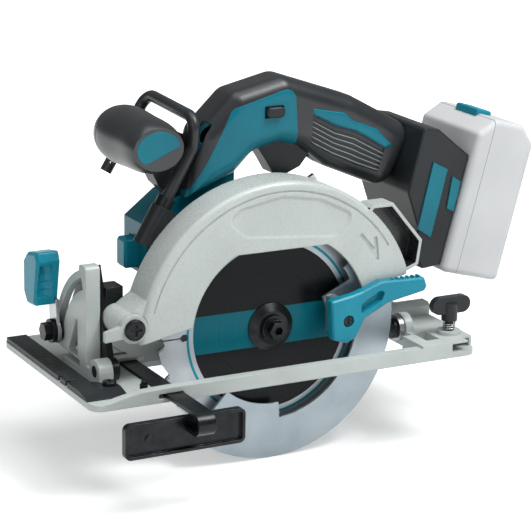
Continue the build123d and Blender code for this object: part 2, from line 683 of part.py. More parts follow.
# Blade and what clamps it to the spindle
def saw_blade():
    pitch = 360.0 / TEETH
    points = []
    for i in range(TEETH):
        a = i * pitch + TOOTH_START
        points.append(polar(BLADE_R - TOOTH_H, a - TOOTH_RAKE))
        points.append(polar(BLADE_R, a))
        points.append(polar(BLADE_R - TOOTH_RELIEF, a + TOOTH_BACK))
    disc = side_plate(Pos(0, SPINDLE_Z) * outline(*points), -BLADE_T / 2, BLADE_T / 2)
    disc -= rod_y(BORE_R, -BLADE_T, BLADE_T, 0, SPINDLE_Z)
    slot_r0 = BLADE_R - TOOTH_H - SLOT_LEN
    cut = Pos((slot_r0 + BLADE_R) / 2, 0) * Rectangle(BLADE_R - slot_r0, SLOT_W) + Pos(slot_r0, 0) * Circle(KEYHOLE_R)
    for i in range(BLADE_SLOTS):
        disc -= side_plate(Pos(0, SPINDLE_Z) * Rot(0, 0, i * 360.0 / BLADE_SLOTS) * cut, -BLADE_T, BLADE_T)
    return disc


def outer_flange():
    y1 = -BLADE_T / 2
    body = rod_y(FLANGE_R, y1 - FLANGE_T, y1, 0, SPINDLE_Z)
    body = chamfer(body.faces().sort_by(Axis.Y)[0].edges(), FLANGE_T * FLANGE_CONE, FLANGE_EDGE)
    return body - rod_y(BOLT_R, y1 - FLANGE_T, y1, 0, SPINDLE_Z)


def inner_flange():
    y0 = BLADE_T / 2
    body = rod_y(FLANGE_R, y0, y0 + FLANGE_T, 0, SPINDLE_Z)
    body += rod_y(BORE_R - RUN, y0 - BLADE_T, y0, 0, SPINDLE_Z)
    return body - rod_y(SPINDLE_R, -BLADE_T, y0 + FLANGE_T, 0, SPINDLE_Z)


BOLT_R = 4.0
BOLT_Y1 = 12.0
COLLAR_T = 2.5
BOLT_SOCKET_R = 3.1
BOLT_SOCKET_L = 4.5
SPINDLE_STEP_R = 5.0
SPINDLE_Y1 = 37.0


def arbor_bolt():
    seat = -BLADE_T / 2 - FLANGE_T
    shank = rod_y(BOLT_R, seat, BOLT_Y1, 0, SPINDLE_Z)
    collar_y0 = seat - COLLAR_T
    collar = rod_y(BOLT_HEAD_R + COLLAR_T, collar_y0, seat, 0, SPINDLE_Z)
    head_y0 = collar_y0 - BOLT_HEAD_T
    head = side_plate(Pos(0, SPINDLE_Z) * RegularPolygon(BOLT_HEAD_R, 6), head_y0, collar_y0)
    socket = side_plate(Pos(0, SPINDLE_Z) * RegularPolygon(BOLT_SOCKET_R, 6), head_y0, head_y0 + BOLT_SOCKET_L)
    return shank + collar + head - socket


def spindle():
    y0 = -BLADE_T / 2
    step = GEAR_Y0 + GEAR_W
    body = rod_y(SPINDLE_R, y0, step, 0, SPINDLE_Z) + rod_y(SPINDLE_STEP_R, step, SPINDLE_Y1, 0, SPINDLE_Z)
    return body - rod_y(BOLT_R, y0, BOLT_Y1, 0, SPINDLE_Z)


# Gear pair with involute teeth
PRESSURE = radians(25.0)
ADDENDUM = 0.85
DEDENDUM = 1.05
BACKLASH = 0.16
FLANK_STEPS = 4


def gear_outline(teeth, phase):
    """Closed gear outline, with one tooth centred on the phase angle in degrees."""
    r = MODULE * teeth / 2
    base_r = r * cos(PRESSURE)
    tip = r + ADDENDUM * MODULE
    root = r - DEDENDUM * MODULE
    half = pi / (2 * teeth) - BACKLASH / (2 * r)
    start = max(base_r, root)

    def half_angle(radius):
        a = acos(min(1.0, base_r / radius))
        return half + tan(PRESSURE) - PRESSURE - (tan(a) - a)

    radii = [start + (tip - start) * k / FLANK_STEPS for k in range(FLANK_STEPS + 1)]
    points = []
    for i in range(teeth):
        centre = radians(phase) + 2 * pi * i / teeth
        low = [(root, -half_angle(start))] + [(q, -half_angle(q)) for q in radii]
        side = low if root < start else low[1:]
        for q, a in side + [(q, -a) for q, a in reversed(side)]:
            points.append((q * cos(centre + a), q * sin(centre + a)))
    return outline(*points)


def drive_gear():
    teeth = Pos(0, SPINDLE_Z) * gear_outline(GEAR_TEETH, MOTOR_ANGLE)
    y1 = GEAR_Y0 + GEAR_W
    return side_plate(teeth, GEAR_Y0, y1) - rod_y(SPINDLE_R, GEAR_Y0, y1, 0, SPINDLE_Z)


PINION_LEAD = 0.5
PINION_Y0 = GEAR_Y0 - PINION_LEAD
PINION_W = GEAR_W + 3 * PINION_LEAD
ROTOR_Y0 = 52.0
ROTOR_L = 26.0
FAN_Y0 = 82.0
FAN_T = 6.0
FAN_R = 27.0
FAN_BLADES = 11
FAN_HUB_R = 7.0
FAN_DISC_T = 1.4
FAN_LEAN = 25.0
SHAFT_Y1 = 101.0


def rotor_shaft():
    phase = MOTOR_ANGLE + 180.0 + 180.0 / PINION_TEETH
    teeth = Pos(MOTOR_X, MOTOR_Z) * gear_outline(PINION_TEETH, phase)
    y1 = PINION_Y0 + PINION_W
    return side_plate(teeth, PINION_Y0, y1) + rod_y(SHAFT_R, y1, SHAFT_Y1, MOTOR_X, MOTOR_Z)


def rotor_core():
    body = rod_y(ROTOR_R, ROTOR_Y0, ROTOR_Y0 + ROTOR_L, MOTOR_X, MOTOR_Z)
    return body - rod_y(SHAFT_R, ROTOR_Y0, ROTOR_Y0 + ROTOR_L, MOTOR_X, MOTOR_Z)


def cooling_fan():
    y1 = FAN_Y0 + FAN_T
    disc = rod_y(FAN_R, FAN_Y0, FAN_Y0 + FAN_DISC_T, MOTOR_X, MOTOR_Z)
    disc += rod_y(FAN_HUB_R, FAN_Y0, y1, MOTOR_X, MOTOR_Z)
    vane = Pos((FAN_R + FAN_HUB_R) / 2, 0) * Rot(0, 0, FAN_LEAN) * Rectangle(FAN_R - FAN_HUB_R - FAN_T, FAN_DISC_T)
    for i in range(FAN_BLADES):
        disc += side_plate(Pos(MOTOR_X, MOTOR_Z) * Rot(0, 0, i * 360.0 / FAN_BLADES) * vane, FAN_Y0, y1)
    return disc - rod_y(SHAFT_R, FAN_Y0, y1, MOTOR_X, MOTOR_Z)


STATOR_R = MOTOR_R - MOTOR_WALL
STATOR_TEETH = 6
STATOR_OVER = 3.0
STATOR_YOKE = 4.0
POLE_W = 9.0


def stator():
    """Laminated ring with six wound poles."""
    y0, y1 = ROTOR_Y0 - STATOR_OVER, ROTOR_Y0 + ROTOR_L + STATOR_OVER
    inner = ROTOR_R + AIR_GAP
    yoke = STATOR_R - STATOR_YOKE
    body = rod_y(STATOR_R, y0, y1, MOTOR_X, MOTOR_Z) - rod_y(yoke, y0, y1, MOTOR_X, MOTOR_Z)
    pole = Pos((inner + yoke) / 2, 0) * Rectangle(yoke - inner + STATOR_YOKE, POLE_W)
    for i in range(STATOR_TEETH):
        body += side_plate(Pos(MOTOR_X, MOTOR_Z) * Rot(0, 0, i * 360.0 / STATOR_TEETH) * pole, y0, y1)
    return body - rod_y(inner, y0, y1, MOTOR_X, MOTOR_Z)


# Bearings: outer rings sit in the housings, shafts run in them
BEARING_Y0 = UG_FAR + 1.0
BEARING_W = 5.0
BEARING_R = 13.5
REAR_BEARING_Y0 = 31.0
REAR_BEARING_R = 9.5
ROTOR_BEARING_R = 8.0
END_BEARING_Y0 = 94.0


def ball_bearings():
    """Two bearings on the spindle and two on the rotor shaft."""
    places = [
        (BEARING_R, SPINDLE_R, BEARING_Y0, 0, SPINDLE_Z),
        (REAR_BEARING_R, SPINDLE_STEP_R, REAR_BEARING_Y0, 0, SPINDLE_Z),
        (ROTOR_BEARING_R, SHAFT_R, REAR_BEARING_Y0, MOTOR_X, MOTOR_Z),
        (ROTOR_BEARING_R, SHAFT_R, END_BEARING_Y0, MOTOR_X, MOTOR_Z)]
    rings = []
    for outer, shaft, y0, x, z in places:
        rings.append(rod_y(outer, y0, y0 + BEARING_W, x, z) - rod_y(shaft + RUN, y0, y0 + BEARING_W, x, z))
    return Compound(children=rings)


def bearing_plate():
    """Plate between gearbox and motor that holds two bearings."""
    y0, y1 = REAR_BEARING_Y0, REAR_BEARING_Y0 + BEARING_W
    body = rod_y(MOTOR_R - MOTOR_WALL, y0, y1, MOTOR_X, MOTOR_Z)
    body -= rod_y(REAR_BEARING_R, y0, y1, 0, SPINDLE_Z) + rod_y(ROTOR_BEARING_R, y0, y1, MOTOR_X, MOTOR_Z)
    return body


# Gear housing and motor
NOSE_BORE = FLANGE_R + 1.1
NOSE_Y0 = LG_FAR - 2.6
SHAFT_HOLE_R = SPINDLE_R + 1.0
GEAR_BORE = GEARBOX_R - GEARBOX_WALL
MOTOR_BORE = MOTOR_R - MOTOR_WALL
VENTS = 9
VENT_L = 14.0
VENT_A0 = 130.0
VENT_STEP = 12.0
VENT_W = 2.6
CAP_ROUND = 6.0
CAP_VENT_R = 19.8
CAP_VENT_L = 11.2


def gear_housing():
    """Cast gearbox: lobes round the spindle and the motor, bearing seat and a round nose for the lower guard."""
    y0 = UG_FAR
    seat_y1 = BEARING_Y0 + BEARING_W
    body = rod_y(GEARBOX_R, y0, GEARBOX_Y1, 0, SPINDLE_Z) + rod_y(MOTOR_R, y0, GEARBOX_Y1, MOTOR_X, MOTOR_Z)
    body -= rod_y(MOTOR_BORE, y0 + GEARBOX_WALL, GEARBOX_Y1, MOTOR_X, MOTOR_Z)
    body -= rod_y(GEAR_BORE, y0 + GEARBOX_WALL, GEARBOX_Y1 - GEARBOX_WALL, 0, SPINDLE_Z)
    body += rod_y(GEAR_BORE, y0, seat_y1, 0, SPINDLE_Z)
    body += rod_y(NOSE_R, NOSE_Y0, y0, 0, SPINDLE_Z)
    body -= rod_y(NOSE_BORE, NOSE_Y0, BLADE_T / 2 + FLANGE_T + FACE_GAP, 0, SPINDLE_Z)
    body -= rod_y(SHAFT_HOLE_R, NOSE_Y0, BEARING_Y0, 0, SPINDLE_Z)
    return body - rod_y(BEARING_R, BEARING_Y0, seat_y1, 0, SPINDLE_Z)


def motor_housing():
    body = rod_y(MOTOR_R, GEARBOX_Y1, MOTOR_Y1, MOTOR_X, MOTOR_Z)
    body -= rod_y(MOTOR_BORE, GEARBOX_Y1, MOTOR_Y1, MOTOR_X, MOTOR_Z)
    cut = bar(-VENT_W / 2, VENT_W / 2, FAN_Y0 - VENT_L / 2, FAN_Y0 + VENT_L / 2, ROTOR_R, 2 * MOTOR_R)
    for i in range(VENTS):
        body -= Pos(MOTOR_X, 0, MOTOR_Z) * Rot(0, VENT_A0 + i * VENT_STEP, 0) * cut
    return body


def motor_end_cap():
    """Rounded cap with slots and the rear rotor bearing's seat."""
    body = rod_y(MOTOR_R, MOTOR_Y1, CAP_Y1, MOTOR_X, MOTOR_Z)
    body = fillet(body.faces().sort_by(Axis.Y)[-1].edges(), CAP_ROUND)
    body -= rod_y(MOTOR_BORE - MOTOR_WALL / 2, MOTOR_Y1, CAP_Y1 - MOTOR_WALL, MOTOR_X, MOTOR_Z)
    body += rod_y(ROTOR_BEARING_R + MOTOR_WALL, END_BEARING_Y0, CAP_Y1 - MOTOR_WALL / 2, MOTOR_X, MOTOR_Z)
    body -= rod_y(ROTOR_BEARING_R, END_BEARING_Y0, END_BEARING_Y0 + BEARING_W, MOTOR_X, MOTOR_Z)
    body -= rod_y(SHAFT_R + FACE_GAP, END_BEARING_Y0, SHAFT_Y1 + FACE_GAP, MOTOR_X, MOTOR_Z)
    cut = Pos(CAP_VENT_R, 0) * SlotOverall(CAP_VENT_L, VENT_W)
    for i in range(VENTS):
        turned = Pos(MOTOR_X, MOTOR_Z) * Rot(0, 0, i * 360.0 / VENTS) * cut
        body -= side_plate(turned, CAP_Y1 - 2 * MOTOR_WALL, CAP_Y1)
    return body


# Upper guard: magnesium shell over the top of the blade, with the chip outlet at its rear
UG_FACE_T = 2.4
UG_EDGE_R = 4.0
OUTLET_Y1 = -1.0
OUTLET_WALL = 2.2
PANEL_DEPTH = 1.0
GROOVE_IN = 6.0
GROOVE_W = 1.0
GROOVE_A0 = 32.0
GROOVE_A1 = 165.0
THROAT_A0 = 24.0
THROAT_A1 = 41.0
WEB_L = 24.0
WEB_RISE = 26.0
WEB_DROP = 4.0
NEAR_LIMIT = [(-140.0, 22.0), (-60.0, 38.0), (0.0, 40.0), (60.0, 48.0), (112.0, 57.0), (140.0, 70.0), (140.0, 160.0),
              (-140.0, 160.0)]
FAR_LIMIT = [(-102.0, 30.0), (-60.0, 16.0), (66.0, 16.0), (84.0, 44.0), (102.0, 62.0), (102.0, 80.0),
             (-102.0, 80.0)]
OUTLET = [(62.0, 98.0), (68.0, 105.0), (84.0, 105.0), (107.5, 77.0), (105.0, 60.0), (92.0, 55.0), (80.0, 70.0)]
PANEL = [(-26.0, 94.0), (40.0, 88.0), (48.0, 94.0), (52.0, 100.0), (28.0, 112.0), (0.0, 116.5), (-30.0, 111.0),
         (-38.0, 104.0)]
PANEL_SLOPE = 2.0
ARROW = [(58.0, 85.0), (60.5, 86.5), (70.5, 75.0), (69.5, 83.0), (72.0, 83.0), (74.0, 67.0), (71.0, 67.5),
         (69.0, 72.0)]


def upper_guard():
    disc = rod_y(UG_R, UG_NEAR, UG_FAR, 0, SPINDLE_Z)
    disc = fillet(disc.faces().sort_by(Axis.Y)[0].edges(), UG_EDGE_R)
    body = disc & side_plate(outline(*NEAR_LIMIT), UG_NEAR, UG_FAR)
    web_x1 = DEPTH_X + WEB_L
    high, low = DEPTH_Z + WEB_RISE, DEPTH_Z - WEB_DROP
    web = outline((DEPTH_X, DEPTH_Z + BOSS_R), (web_x1, high), (web_x1, low), (DEPTH_X, DEPTH_Z - BOSS_R))
    body += side_plate(web, BOSS_Y0, UG_FAR) + rod_y(BOSS_R, BOSS_Y0, BOSS_Y1, DEPTH_X, DEPTH_Z)
    duct = outline(*OUTLET)
    body += side_plate(duct, UG_NEAR, OUTLET_Y1)
    back_wall = rod_y(UG_R - UG_WALL / 2, UG_FAR - UG_WALL, UG_FAR, 0, SPINDLE_Z)
    body += back_wall & side_plate(outline(*FAR_LIMIT), UG_NEAR, UG_FAR)
    body -= rod_y(BOSS_R + 2 * FACE_GAP, UG_NEAR, BOSS_Y0, DEPTH_X, DEPTH_Z)
    inner_r = UG_R - UG_WALL
    body -= rod_y(inner_r, UG_NEAR + UG_FACE_T, UG_FAR - UG_WALL, 0, SPINDLE_Z)
    mouth = offset(duct, amount=-OUTLET_WALL)
    duct_y1 = OUTLET_Y1 - OUTLET_WALL
    beyond = side_plate(mouth, UG_NEAR, duct_y1) - rod_y(UG_R - FACE_GAP, UG_NEAR, UG_FAR, 0, SPINDLE_Z)
    through = ring_sector(inner_r - FACE_GAP, UG_R + FACE_GAP, THROAT_A0, THROAT_A1)
    throat = side_plate(Pos(0, SPINDLE_Z) * through, UG_NEAR + UG_FACE_T, duct_y1)
    body -= beyond + throat
    window = Pos(0, SPINDLE_Z) * Circle(WINDOW_R) & Pos(0, WINDOW_TOP - UG_R) * Rectangle(2 * UG_R, 2 * UG_R)
    body -= side_plate(window, UG_NEAR, UG_NEAR + UG_FACE_T)
    groove = ring_sector(UG_R - GROOVE_IN - GROOVE_W, UG_R - GROOVE_IN, GROOVE_A0, GROOVE_A1)
    body -= side_plate(Pos(0, SPINDLE_Z) * groove, UG_NEAR, UG_NEAR + PANEL_DEPTH / 2)
    panel = outline(*PANEL, r=UG_EDGE_R)
    mouth = Plane((0, UG_NEAR, 0), x_dir=(1, 0, 0), z_dir=(0, -1, 0)) * offset(panel, amount=PANEL_SLOPE)
    floor = Plane((0, UG_NEAR + PANEL_DEPTH, 0), x_dir=(1, 0, 0), z_dir=(0, -1, 0)) * panel
    body -= loft([mouth, floor])
    body -= side_plate(outline(*ARROW), UG_NEAR, UG_NEAR + PANEL_DEPTH)
    cx, cz = clamp_place()
    body -= rod_y(NOSE_R, UG_NEAR, UG_FAR, 0, SPINDLE_Z)
    body -= rod_y(CLAMP_R, UG_FAR - UG_WALL, UG_FAR, cx, cz)
    return body - rod_y(DEPTH_PIN_R + RUN, BOSS_Y0, BOSS_Y1, DEPTH_X, DEPTH_Z)


# Lower guard: sheet shell that swings round the gear housing's nose, with a retracting lever
GUARD_A0 = -132.0
GUARD_A1 = 35.0
LOBE_A1 = -86.0
LOBE_R = 52.0
LOBE_LAP = 2.0
TAB_R = 40.0
TAB_A0 = -8.0
TAB_A1 = 26.0
FAR_T = 1.5
HUB_Y0 = LG_FAR - 2.0
HUB_R = NOSE_R + HUB_W
POST = [(38.0, 20.0), (48.5, 20.0), (49.5, 34.0), (45.0, 44.0), (38.0, 44.0)]
LEVER_Y0 = -23.6
LEVER_Y1 = UG_NEAR - 1.0
LEVER = [(34.0, 44.0), (36.0, 17.0), (47.0, 13.5), (54.0, 17.0), (60.0, 29.0), (78.0, 38.0), (106.5, 43.0), (108.5, 46.0),
         (106.0, 52.5), (72.0, 53.5), (58.0, 48.5), (50.0, 46.5)]
LEVER_POCKET = [(57.0, 33.0), (73.0, 40.5), (75.0, 46.0), (71.0, 47.5), (57.0, 39.5)]
LEVER_SCREW_X = 47.5
LEVER_SCREW_Z = 29.0
LEVER_SCREW_R = 2.0
LEVER_SINK = 2.2
LEVER_SINK_R = 4.0
LEVER_BITE = 5.0
LEVER_EDGE = 1.2
LEVER_RIBS = 6
LEVER_RIB_X = 82.0
LEVER_RIB_Z = 51.5
LEVER_RIB_W = 1.6
LEVER_RIB_H = 2.3
LEVER_RIB_PITCH = 4.0


def lower_guard():
    hub = Pos(0, SPINDLE_Z)
    near = hub * ring_sector(LG_BAND, LG_R, LOBE_A1 - LOBE_LAP, GUARD_A1)
    near += hub * ring_sector(LOBE_R, LG_R, GUARD_A0, LOBE_A1)
    near += hub * ring_sector(TAB_R, LG_BAND + LG_WALL, TAB_A0, TAB_A1)
    body = side_plate(near, LG_NEAR, LG_NEAR + LG_WALL)
    body += side_plate(hub * ring_sector(LG_R - LG_WALL, LG_R, GUARD_A0, GUARD_A1), LG_NEAR, LG_FAR)
    body += side_plate(hub * pie(LG_R, GUARD_A0, GUARD_A1), LG_FAR - FAR_T, LG_FAR)
    body += rod_y(HUB_R, HUB_Y0, LG_FAR, 0, SPINDLE_Z)
    body -= rod_y(NOSE_R + RUN, HUB_Y0, LG_FAR, 0, SPINDLE_Z)
    body += side_plate(outline(*POST), LEVER_Y1, LG_NEAR)
    return body - rod_y(LEVER_SCREW_R, LEVER_Y1, LEVER_Y1 + LEVER_BITE, LEVER_SCREW_X, LEVER_SCREW_Z)


def guard_lever():
    body = side_plate(outline(*LEVER, r=1.6), LEVER_Y0, LEVER_Y1)
    body = chamfer(body.faces().sort_by(Axis.Y)[0].edges(), LEVER_EDGE)
    body -= side_plate(outline(*LEVER_POCKET, r=LEVER_EDGE), LEVER_Y0, LEVER_Y0 + POCKET_WALL)
    for i in range(LEVER_RIBS):
        x = LEVER_RIB_X + i * LEVER_RIB_PITCH
        y0, y1 = LEVER_Y0 + LEVER_RIB_W, LEVER_Y1 - GAP
        body += bar(x, x + LEVER_RIB_W, y0, y1, LEVER_RIB_Z, LEVER_RIB_Z + LEVER_RIB_H)
    body -= rod_y(LEVER_SINK_R, LEVER_Y0, LEVER_Y0 + LEVER_SINK, LEVER_SCREW_X, LEVER_SCREW_Z)
    return body - rod_y(LEVER_SCREW_R, LEVER_Y0, LEVER_Y1, LEVER_SCREW_X, LEVER_SCREW_Z)


def guard_lever_screw():
    length = LEVER_Y1 - LEVER_Y0 - LEVER_SINK + LEVER_BITE - FACE_GAP
    at = Pos(LEVER_SCREW_X, LEVER_Y0 + LEVER_SINK, LEVER_SCREW_Z) * Rot(90, 0, 0)
    return at * screw(LEVER_SCREW_R, length, LEVER_SINK_R - GAP, LEVER_SINK - GAP)


# Springs: wire swept along joined arcs, two to each quarter turn
COIL_LIMIT = 0.4


def coil(radius, pitch, turns, wire, name):
    """Helical spring about Z, starting at zero height."""
    quarters = round(4 * turns)
    slope = pitch / (2 * pi)
    speed = hypot(radius, slope)

    def point(q):
        a = q * pi / 2
        return Vector(radius * cos(a), radius * sin(a), slope * a)

    def along(q):
        a = q * pi / 2
        return Vector(-radius * sin(a), radius * cos(a), slope) * (1 / speed)

    arcs = []
    for q in range(quarters):
        span = point(q + 1) - point(q)
        sides = along(q) + along(q + 1)
        a = 4 - sides.dot(sides)
        b = 2 * span.dot(sides)
        d = (-b + sqrt(b * b + 4 * a * span.dot(span))) / (2 * a)
        leave = point(q) + along(q) * d
        reach = point(q + 1) - along(q + 1) * d
        middle = (leave + reach) * 0.5
        arcs.append(TangentArc(point(q), middle, tangent=along(q)))
        arcs.append(TangentArc(middle, point(q + 1), tangent=reach - leave))
    marks = [point(k / 8) for k in range(quarters * 8 + 1)]
    near = [(marks[i] - marks[j]).length for i in range(len(marks)) for j in range(i + 16, len(marks))]
    least = min(near) - 2 * wire
    print(f"{name}: least gap between turns {least:.2f} mm")
    assert least > COIL_LIMIT, name
    section = Plane(point(0), z_dir=along(0)) * Circle(wire)
    return sweep(section, path=Wire(arcs))


SPRING_WIRE = 0.7
SPRING_TURNS = 1.25
SPRING_PITCH = 1.95


def guard_spring():
    """Return spring of the lower guard, wound round the nose."""
    wound = coil(NOSE_R + GAP + SPRING_WIRE + FACE_GAP, SPRING_PITCH, SPRING_TURNS, SPRING_WIRE, "guard spring")
    y0 = (LG_FAR + UG_FAR - UG_WALL) / 2 + SPRING_PITCH * SPRING_TURNS / 2
    return Pos(0, y0, SPINDLE_Z) * Rot(90, 0, 0) * wound


# Main handle: a D-shaped grip with rounded edges, split into two shells
GRIP_FOOT = [(-18.4, 127.9), (-52.6, 114.1)]
GRIP_LINE = [(-45.0, 158.0), (-20.0, 182.0), (17.0, 190.5), (70.0, 172.5), (119.0, 146.0), (97.0, 106.0), (50.0, 126.0),
             (30.0, 142.0), (14.0, 146.0), (-5.0, 141.0)]
SPLIT_TOP = max(z for x, z in GRIP_LINE) + HANDLE_W
GRIP_BEND = 13.0
GRIP_EDGE = 11.0
PANEL_LINE = [(-62.0, 100.0), (-22.5, 172.0), (23.0, 184.0), (27.0, 134.0), (24.0, 120.0), (-10.0, 100.0)]
PANEL_BEND = 7.0
COWL_FRONT = -78.0
COWL_LOW = 62.0
COWL_SHOULDER = 96.0
COWL_TOP_X0 = -57.0
COWL_TOP_X1 = -14.0
COWL_Y0 = 27.0
COWL_Y1 = 62.0


def grip_form(inset):
    """Grip solid, smaller all round by the inset."""
    shape = outline(*GRIP_FOOT, *GRIP_LINE)
    bends = [v for v in shape.vertices() if min(hypot(v.X - x, v.Y - z) for x, z in GRIP_FOOT) > FACE_GAP]
    shape = fillet(bends, GRIP_BEND)
    if inset > 0:
        shape = offset(shape, amount=-inset)
    body = side_plate(shape, HANDLE_Y - HANDLE_W / 2 + inset, HANDLE_Y + HANDLE_W / 2 - inset)
    sides = body.faces().sort_by(Axis.Y)
    return fillet(sides[0].edges() + sides[-1].edges(), GRIP_EDGE - inset)


def teal_side():
    """Space of the bare shell panels at the front of the handle."""
    return side_plate(outline(*PANEL_LINE, r=PANEL_BEND), HANDLE_Y - HANDLE_W, HANDLE_Y + HANDLE_W)


def cowl_form(inset):
    """Cowl under the handle: its top lies in the plane of the first grip section."""
    (x1, z1), (x, z) = GRIP_FOOT
    slope = (z1 - z) / (x1 - x)
    top_z0 = z + (COWL_TOP_X0 - x) * slope
    top_z1 = z + (COWL_TOP_X1 - x) * slope
    points = [(COWL_FRONT, COWL_LOW), (COWL_FRONT, COWL_SHOULDER), (COWL_TOP_X0, top_z0), (COWL_TOP_X1, top_z1),
              (COWL_TOP_X1, MOTOR_Z), (MOTOR_X - MOTOR_R, COWL_LOW - MOTOR_WALL)]
    shape = outline(*points)
    if inset > 0:
        shape = offset(shape, amount=-inset)
    return side_plate(shape, COWL_Y0 + inset, COWL_Y1 - inset)


# Hook: bent rod that turns in a holder beside the upper guard
HOOK_R = 4.0
HOOK_Y = 19.5
HOOK_FAR_Y = 88.0
HOOK_LOW = (-84.0, 86.0)
HOOK_KNEE = (-48.0, 148.0)
HOOK_TOP = (-47.0, 167.0)
HOOK_FAR = (-49.0, 171.0)
HOOK_TIP = (-80.0, 120.0)
HOOK_IN = 4.0
HOOK_CLEAR = 90.0
HOOK_BEND = 9.0
HOLE_R = 2.0
HOLE_IN = 7.0
HOLDER_R = 7.0
HOLDER_L = 28.0
HOLDER_FLOOR = 2.5
HOLDER_FOOT = 10.5
BUSH_R = 6.0
BUSH_L = 7.0


def hook_axis():
    """Unit vector along the hook's turning axis, in X and Z."""
    dx, dz = HOOK_KNEE[0] - HOOK_LOW[0], HOOK_KNEE[1] - HOOK_LOW[1]
    return dx / hypot(dx, dz), dz / hypot(dx, dz)


def hook_rod(r, start, stop):
    """Round bar along the hook's axis, between two distances from its low end."""
    ax, az = hook_axis()
    at = Plane((HOOK_LOW[0] + ax * start, HOOK_Y, HOOK_LOW[1] + az * start), x_dir=(0, 1, 0), z_dir=(ax, 0, az))
    return extrude(at * Circle(r), amount=stop - start)


def hook():
    ax, az = hook_axis()
    low = (HOOK_LOW[0] + ax * HOOK_IN, HOOK_Y, HOOK_LOW[1] + az * HOOK_IN)
    knee = (HOOK_KNEE[0], HOOK_Y, HOOK_KNEE[1])
    top = (HOOK_TOP[0], HOOK_Y, HOOK_TOP[1])
    far = (HOOK_FAR[0], HOOK_FAR_Y, HOOK_FAR[1])
    tip = (HOOK_TIP[0], HOOK_FAR_Y, HOOK_TIP[1])
    path = FilletPolyline(low, knee, top, far, tip, radius=HOOK_BEND)
    body = sweep(Plane(low, z_dir=(ax, 0, az)) * Circle(HOOK_R), path=path)
    run = hypot(far[0] - tip[0], far[2] - tip[2])
    x = tip[0] + (far[0] - tip[0]) * HOLE_IN / run
    z = tip[2] + (far[2] - tip[2]) * HOLE_IN / run
    print(f"lanyard hole at {x:.3f}, {HOOK_FAR_Y:.3f}, {z:.3f}")
    return body - rod_y(HOLE_R, HOOK_FAR_Y - HOOK_R, HOOK_FAR_Y + HOOK_R, x, z)


def hook_holder():
    ax, az = hook_axis()
    x, z = HOOK_LOW
    top_x, top_z = x + ax * HOLDER_L, z + az * HOLDER_L
    side_x, side_z = az * HOLDER_FOOT, -ax * HOLDER_FOOT
    foot = outline((x, z), (top_x, top_z), (top_x + side_x, top_z + side_z), (x + side_x, z + side_z))
    body = hook_rod(HOLDER_R, 0.0, HOLDER_L) + side_plate(foot, UG_FAR, UG_FAR + HOLDER_FLOOR)
    return body - hook_rod(HOOK_R + RUN, HOLDER_FLOOR, HOLDER_L)


def hook_bush():
    top = HOLDER_L + BUSH_L
    return hook_rod(BUSH_R, HOLDER_L, top) - hook_rod(HOOK_R + RUN, HOLDER_L, top)


# Trigger, lock-off button and shaft lock
TRIGGER = [(2.0, 151.0), (41.0, 151.0), (45.0, 146.0), (42.0, 138.0), (33.0, 127.0), (22.0, 122.5), (13.0, 123.5),
           (8.0, 132.0), (2.0, 141.0)]
TRIGGER_EDGE = 1.5
TRIGGER_W = 15.0
TRIGGER_X = 37.0
TRIGGER_Z = 147.0
TRIGGER_PIN_R = 1.5
TRIGGER_SLOT = (0.0, 47.0, 118.0, 155.5)
LOCK_X = 7.6
LOCK_Z = 168.0
LOCK_W = 13.0
LOCK_H = 7.0
LOCK_OUT = 3.5
LOCK_ROUND = 2.8
LOCK_EDGE = 0.8
SHAFT_LOCK_Y = 46.0
SHAFT_LOCK_Z = 75.0
SHAFT_LOCK_W = 14.0
SHAFT_LOCK_H = 20.0
SHAFT_LOCK_X0 = -88.0
SHAFT_LOCK_L = 17.0
SHAFT_LOCK_ROUND = 2.5
SHAFT_LOCK_EDGE = 1.6


def trigger():
    y0, y1 = HANDLE_Y - TRIGGER_W / 2, HANDLE_Y + TRIGGER_W / 2
    body = side_plate(outline(*TRIGGER, r=TRIGGER_EDGE), y0, y1)
    return body - rod_y(TRIGGER_PIN_R + RUN, y0, y1, TRIGGER_X, TRIGGER_Z)


def trigger_pin():
    reach = HANDLE_W / 2 - RUBBER - SHELL
    return rod_y(TRIGGER_PIN_R, HANDLE_Y - reach, HANDLE_Y + reach, TRIGGER_X, TRIGGER_Z)


def lock_off_button():
    """Cross bar that shows at both sides of the handle."""
    reach = HANDLE_W / 2 + LOCK_OUT
    section = Pos(LOCK_X, LOCK_Z) * RectangleRounded(LOCK_W, LOCK_H, LOCK_ROUND)
    body = side_plate(section, HANDLE_Y - reach, HANDLE_Y + reach)
    ends = body.faces().sort_by(Axis.Y)
    return chamfer(ends[0].edges() + ends[-1].edges(), LOCK_EDGE)


def shaft_lock_button():
    y0, z0 = SHAFT_LOCK_Y - SHAFT_LOCK_W / 2, SHAFT_LOCK_Z - SHAFT_LOCK_H / 2
    body = bar(SHAFT_LOCK_X0, SHAFT_LOCK_X0 + SHAFT_LOCK_L, y0, y0 + SHAFT_LOCK_W, z0, z0 + SHAFT_LOCK_H)
    body = fillet(body.edges().filter_by(Axis.X), SHAFT_LOCK_ROUND)
    return chamfer(body.faces().sort_by(Axis.X)[0].edges(), SHAFT_LOCK_EDGE)


